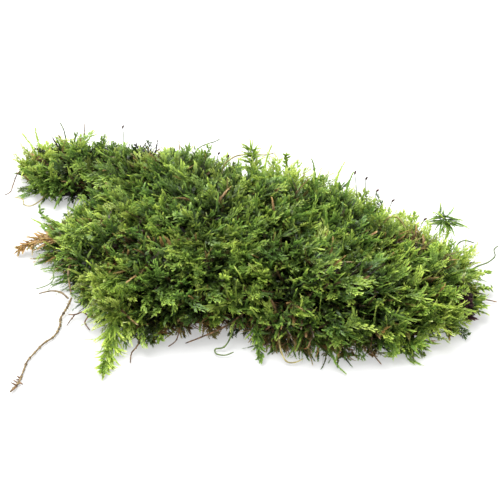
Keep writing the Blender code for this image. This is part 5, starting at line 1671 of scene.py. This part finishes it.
LEAFY_KINDS = ("shoot", "frond", "tuft", "fan")
leafy = [leafy_piece(name, kind, look, *rest) for name, (kind, look, _, *rest) in LOOSE_PIECES.items()
         if kind in LEAFY_KINDS]
print(len(leafy), "leafy shoots and fronds")

# %% [markdown]
# ## The dead layer under the front edge
#
# Old stems, brown and bare, are matted together under the front of the clump, and their broken ends show
# there against the ground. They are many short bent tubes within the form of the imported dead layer.

# %% Dead stems
DEAD_STEMS = 620
DEAD_STEM_LENGTH = (7, 20)
DEAD_STEM_RADIUS = (0.16, 0.42)
DEAD_STEM_PROFILE = np.array((0.7, 1.0, 1.0, 0.95, 0.8, 0.4))
# look: its share of the dead stems
DEAD_LOOKS = {"brown": 0.55, "rust": 0.30, "straw": 0.15}


def surface_places(name, count):
    """Random places on a node's upper and side faces, with their outward directions."""
    mesh = nodes[name].data
    mesh.calc_loop_triangles()
    corners = np.array([[mesh.vertices[i].co for i in t.vertices] for t in mesh.loop_triangles])
    normals = np.cross(corners[:, 1] - corners[:, 0], corners[:, 2] - corners[:, 0])
    area = np.linalg.norm(normals, axis=1)
    normals /= np.maximum(area, 1e-12)[:, None]
    area = area * (normals[:, 2] > -0.4)
    pick = rng.choice(len(area), count, p=area / area.sum())
    a, b = rng.random(count), rng.random(count)
    flip = a + b > 1
    a[flip], b[flip] = 1 - a[flip], 1 - b[flip]
    place = corners[pick, 0] + (corners[pick, 1] - corners[pick, 0]) * a[:, None] + (
        corners[pick, 2] - corners[pick, 0]) * b[:, None]
    return place, normals[pick]


def dead_stems(look, count):
    """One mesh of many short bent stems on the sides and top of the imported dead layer."""
    place, normal = surface_places("dead_stem_layer", count)
    parts = []
    for centre, out in zip(place, normal):
        azimuth = rng.uniform(0, math.tau)
        length = rng.uniform(*DEAD_STEM_LENGTH)
        bend = rng.normal(0, 0.05)
        steps = np.linspace(-0.5, 0.5, 6) * length
        turn = azimuth + bend * steps
        flat = np.column_stack([np.cos(turn), np.sin(turn), rng.normal(0, 0.12) + 0 * steps])
        line = centre / MM + flat * steps[:, None] - out * rng.uniform(0.0, 0.8)
        line[:, 2] = np.maximum(line[:, 2] + rng.normal(0, 0.25, 6), 0.6)
        parts.append(tube(line, rng.uniform(*DEAD_STEM_RADIUS) * DEAD_STEM_PROFILE, 4))
    points, faces = joined_tubes(parts)
    piece = mesh_object("dead_layer_" + look, points * MM, faces)
    return dress(piece, stem_materials[look], SLOTS[look], "dead_stem_layer")


for look, share in DEAD_LOOKS.items():
    piece = dead_stems(look, int(DEAD_STEMS * share))
    print(piece.name, len(piece.data.polygons), "triangles")

# %% [markdown]
# ## Bare stems between the shoots
#
# Where the mat is ragged, the bare lower parts of its stems show between the shoots: wiry, brown to rusty and
# crossing each other.

# %% Stems between the shoots
# name: look, x, y, radius, number of stems
STEM_PLACES = {
    "left_shoulder": ("rust", -93, 4, 8, 26),
    "left_corner": ("brown", -84, -20, 8, 14),
    "right_lobe": ("rust", 102, -12, 11, 30),
    "arm_end": ("brown", -112, 80, 10, 26),
    "front": ("brown", 8, -62, 16, 30),
    "front_corner": ("rust", -50, -60, 10, 16),
}
BETWEEN_LENGTH = (7.0, 14.0)
BETWEEN_RADIUS = (0.16, 0.30)
BETWEEN_POINTS = 7


def stems_between(place, look, x, y, radius, count):
    """One mesh of crossing stems near the mat's surface at a place."""
    centres = np.array((x, y)) + rng.normal(0, 0.5, (5 * count, 2)) * radius + np.array(SHIFT[:2]) / MM
    centres = centres[read_grid(body, *(centres.T * MM)) > 0.9][:count]
    parts = []
    for centre in centres:
        height = read_grid(cushion, *(centre[:, None] * MM))[0] / MM
        azimuth = rng.uniform(0, math.tau)
        steps = np.linspace(-0.5, 0.5, BETWEEN_POINTS) * rng.uniform(*BETWEEN_LENGTH)
        turn = azimuth + rng.normal(0, 0.09) * steps
        line = np.column_stack([centre[0] + np.cos(turn) * steps, centre[1] + np.sin(turn) * steps,
                                max(height, 2.0) + rng.uniform(-1.5, 2.5) + rng.normal(0, 0.25) * steps])
        line[:, 2] = np.maximum(line[:, 2], 0.8)
        radii = rng.uniform(*BETWEEN_RADIUS) * np.linspace(1.0, 0.6, BETWEEN_POINTS)
        parts.append(tube(line, radii, 4))
    points, faces = joined_tubes(parts)
    piece = mesh_object("stems_between_" + place, points * MM, faces)
    return dress(piece, stem_materials[look], SLOTS[look], "moss_mat")


between = [stems_between(place, *stems) for place, stems in STEM_PLACES.items()]
print(sum(len(piece.data.polygons) for piece in between), "triangles of stems between the shoots")

# %% [markdown]
# ## The dark purple clump
#
# One tight clump of another moss sits at the right front edge. Its leaves are broad, blunt and dark purple
# brown, so it has its own colours on the same kind of leaf.

# %% Dark purple clump
PURPLE_AGES = ((0.0, "#1A1014"), (0.35, "#45303A"), (0.6, "#6A4A50"), (0.8, "#85685C"), (0.99, "#A08C6C"))
CLUMP_SPRIGS = 260
# how far its leaves are moved to the left, in its left and its right half, and to the front
CLUMP_LEFT = (1.5, 6.0)
CLUMP_FRONT = 1.0
GREEN_BY_CLUMP = 30


def purple_clump():
    """Short broad sprigs over the whole packed clump."""
    place, normal = surface_places("dark_leaf_clump", CLUMP_SPRIGS)
    place[:, 0] -= np.where(place[:, 0] > place[:, 0].mean(), CLUMP_LEFT[1], CLUMP_LEFT[0]) * MM
    place[:, 1] -= CLUMP_FRONT * MM
    azimuth = np.arctan2(normal[:, 1], normal[:, 0]) + rng.normal(0, 0.7, CLUMP_SPRIGS)
    rise = np.arcsin(np.clip(normal[:, 2], -0.2, 1.0)) * 0.6 + rng.normal(0, 0.3, CLUMP_SPRIGS)
    clump = Shoots()
    clump.grow(place - normal * 1.6 * MM, azimuth, rise, (-0.6, 0.4), 0.6, (2.6, 4.2), (1.0, 1.4),
               (0.25, 0.75), (0.35, 0.8), SPRIG, free=True, foot=EDGE_FOOT_SHADE)
    pick = rng.integers(0, len(sprigs), CLUMP_SPRIGS)
    return mesh_object("purple_clump_leaves", *lay_all(sprigs, clump.table(), pick))


def green_by_clump():
    """A few green shoots that grow up through the right side of the dark clump."""
    place, normal = surface_places("dark_leaf_clump", 3 * GREEN_BY_CLUMP)
    right = np.argsort(-place[:, 0])[:GREEN_BY_CLUMP]
    azimuth = rng.normal(math.radians(-10), 0.8, GREEN_BY_CLUMP)
    rise = np.radians(rng.uniform(-5, 50, GREEN_BY_CLUMP))
    made = Shoots()
    made.grow(place[right] - normal[right] * 2.0 * MM, azimuth, rise, (-0.8, 0.3), 0.6, (4.0, 7.0),
              (0.8, 1.0), (0.55, 0.78), (0.6, 0.95), WHIP, free=True, foot=OPEN_FOOT_SHADE)
    return mesh_object("clump_green_shoots", *lay(whips[0], made.table()))


purple_material = make_leaf_material("dark purple moss leaf", PURPLE_AGES)
clump = dress(purple_clump(), purple_material, "dark_purple_moss", "dark_leaf_clump")
green = dress(green_by_clump(), leaf_material, "living_moss", "dark_leaf_clump")
print(clump.name, len(clump.data.polygons), "triangles,", green.name, len(green.data.polygons))

# %% [markdown]
# ## Floor and light
#
# The clump lies on a plain near-white light table, which glows a little, so its shadows stay pale. One big
# soft light from behind and to the left makes the back rim and the shoot tips glow and lays the shadow
# under the front and right edges. A white sky fills it.

# %% Floor and light
FLOOR_SIZE = 6.0
FLOOR_COLOUR = "#A9A9A9"
FLOOR_GLOW = 0.38
KEY_PLACE = Vector((-0.30, 0.45, 0.95))
KEY_SIZE = 1.1
KEY_WATTS = 24.0
SKY_STRENGTH = 1.40

floor = mesh_object("floor", np.array([(-1, -1, 0), (1, -1, 0), (1, 1, 0), (-1, 1, 0)]) * FLOOR_SIZE / 2,
                    np.array([(0, 1, 2), (0, 2, 3)]))
floor_material = new_material("white light table")
paper = add(floor_material, "BsdfPrincipled", inputs={
    "Base Color": linear(FLOOR_COLOUR), "Roughness": 0.9,
    "Emission Color": linear("#FFFFFF"), "Emission Strength": FLOOR_GLOW})
add(floor_material, "OutputMaterial", {"Surface": paper.outputs["BSDF"]})
floor.data.materials.append(floor_material)

key = bpy.data.objects.new("key light", bpy.data.lights.new("key light", "AREA"))
key.data.shape = "DISK"
key.data.size = KEY_SIZE
key.data.energy = KEY_WATTS
key.location = KEY_PLACE
key.rotation_euler = (CAMERA_TARGET - KEY_PLACE).to_track_quat("-Z", "Y").to_euler()
bpy.context.scene.collection.objects.link(key)

world = bpy.data.worlds.new("white studio")
world.use_nodes = True
world.node_tree.nodes["Background"].inputs["Color"].default_value = linear("#FFFFFF")
world.node_tree.nodes["Background"].inputs["Strength"].default_value = SKY_STRENGTH
bpy.context.scene.world = world
bpy.context.scene.view_settings.view_transform = "Standard"
print("key light of", KEY_WATTS, "watts and a sky of", SKY_STRENGTH)

# %% [markdown]
# ## The end
#
# The view layer is brought up to date.

# %% Bring the scene up to date
bpy.context.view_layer.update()
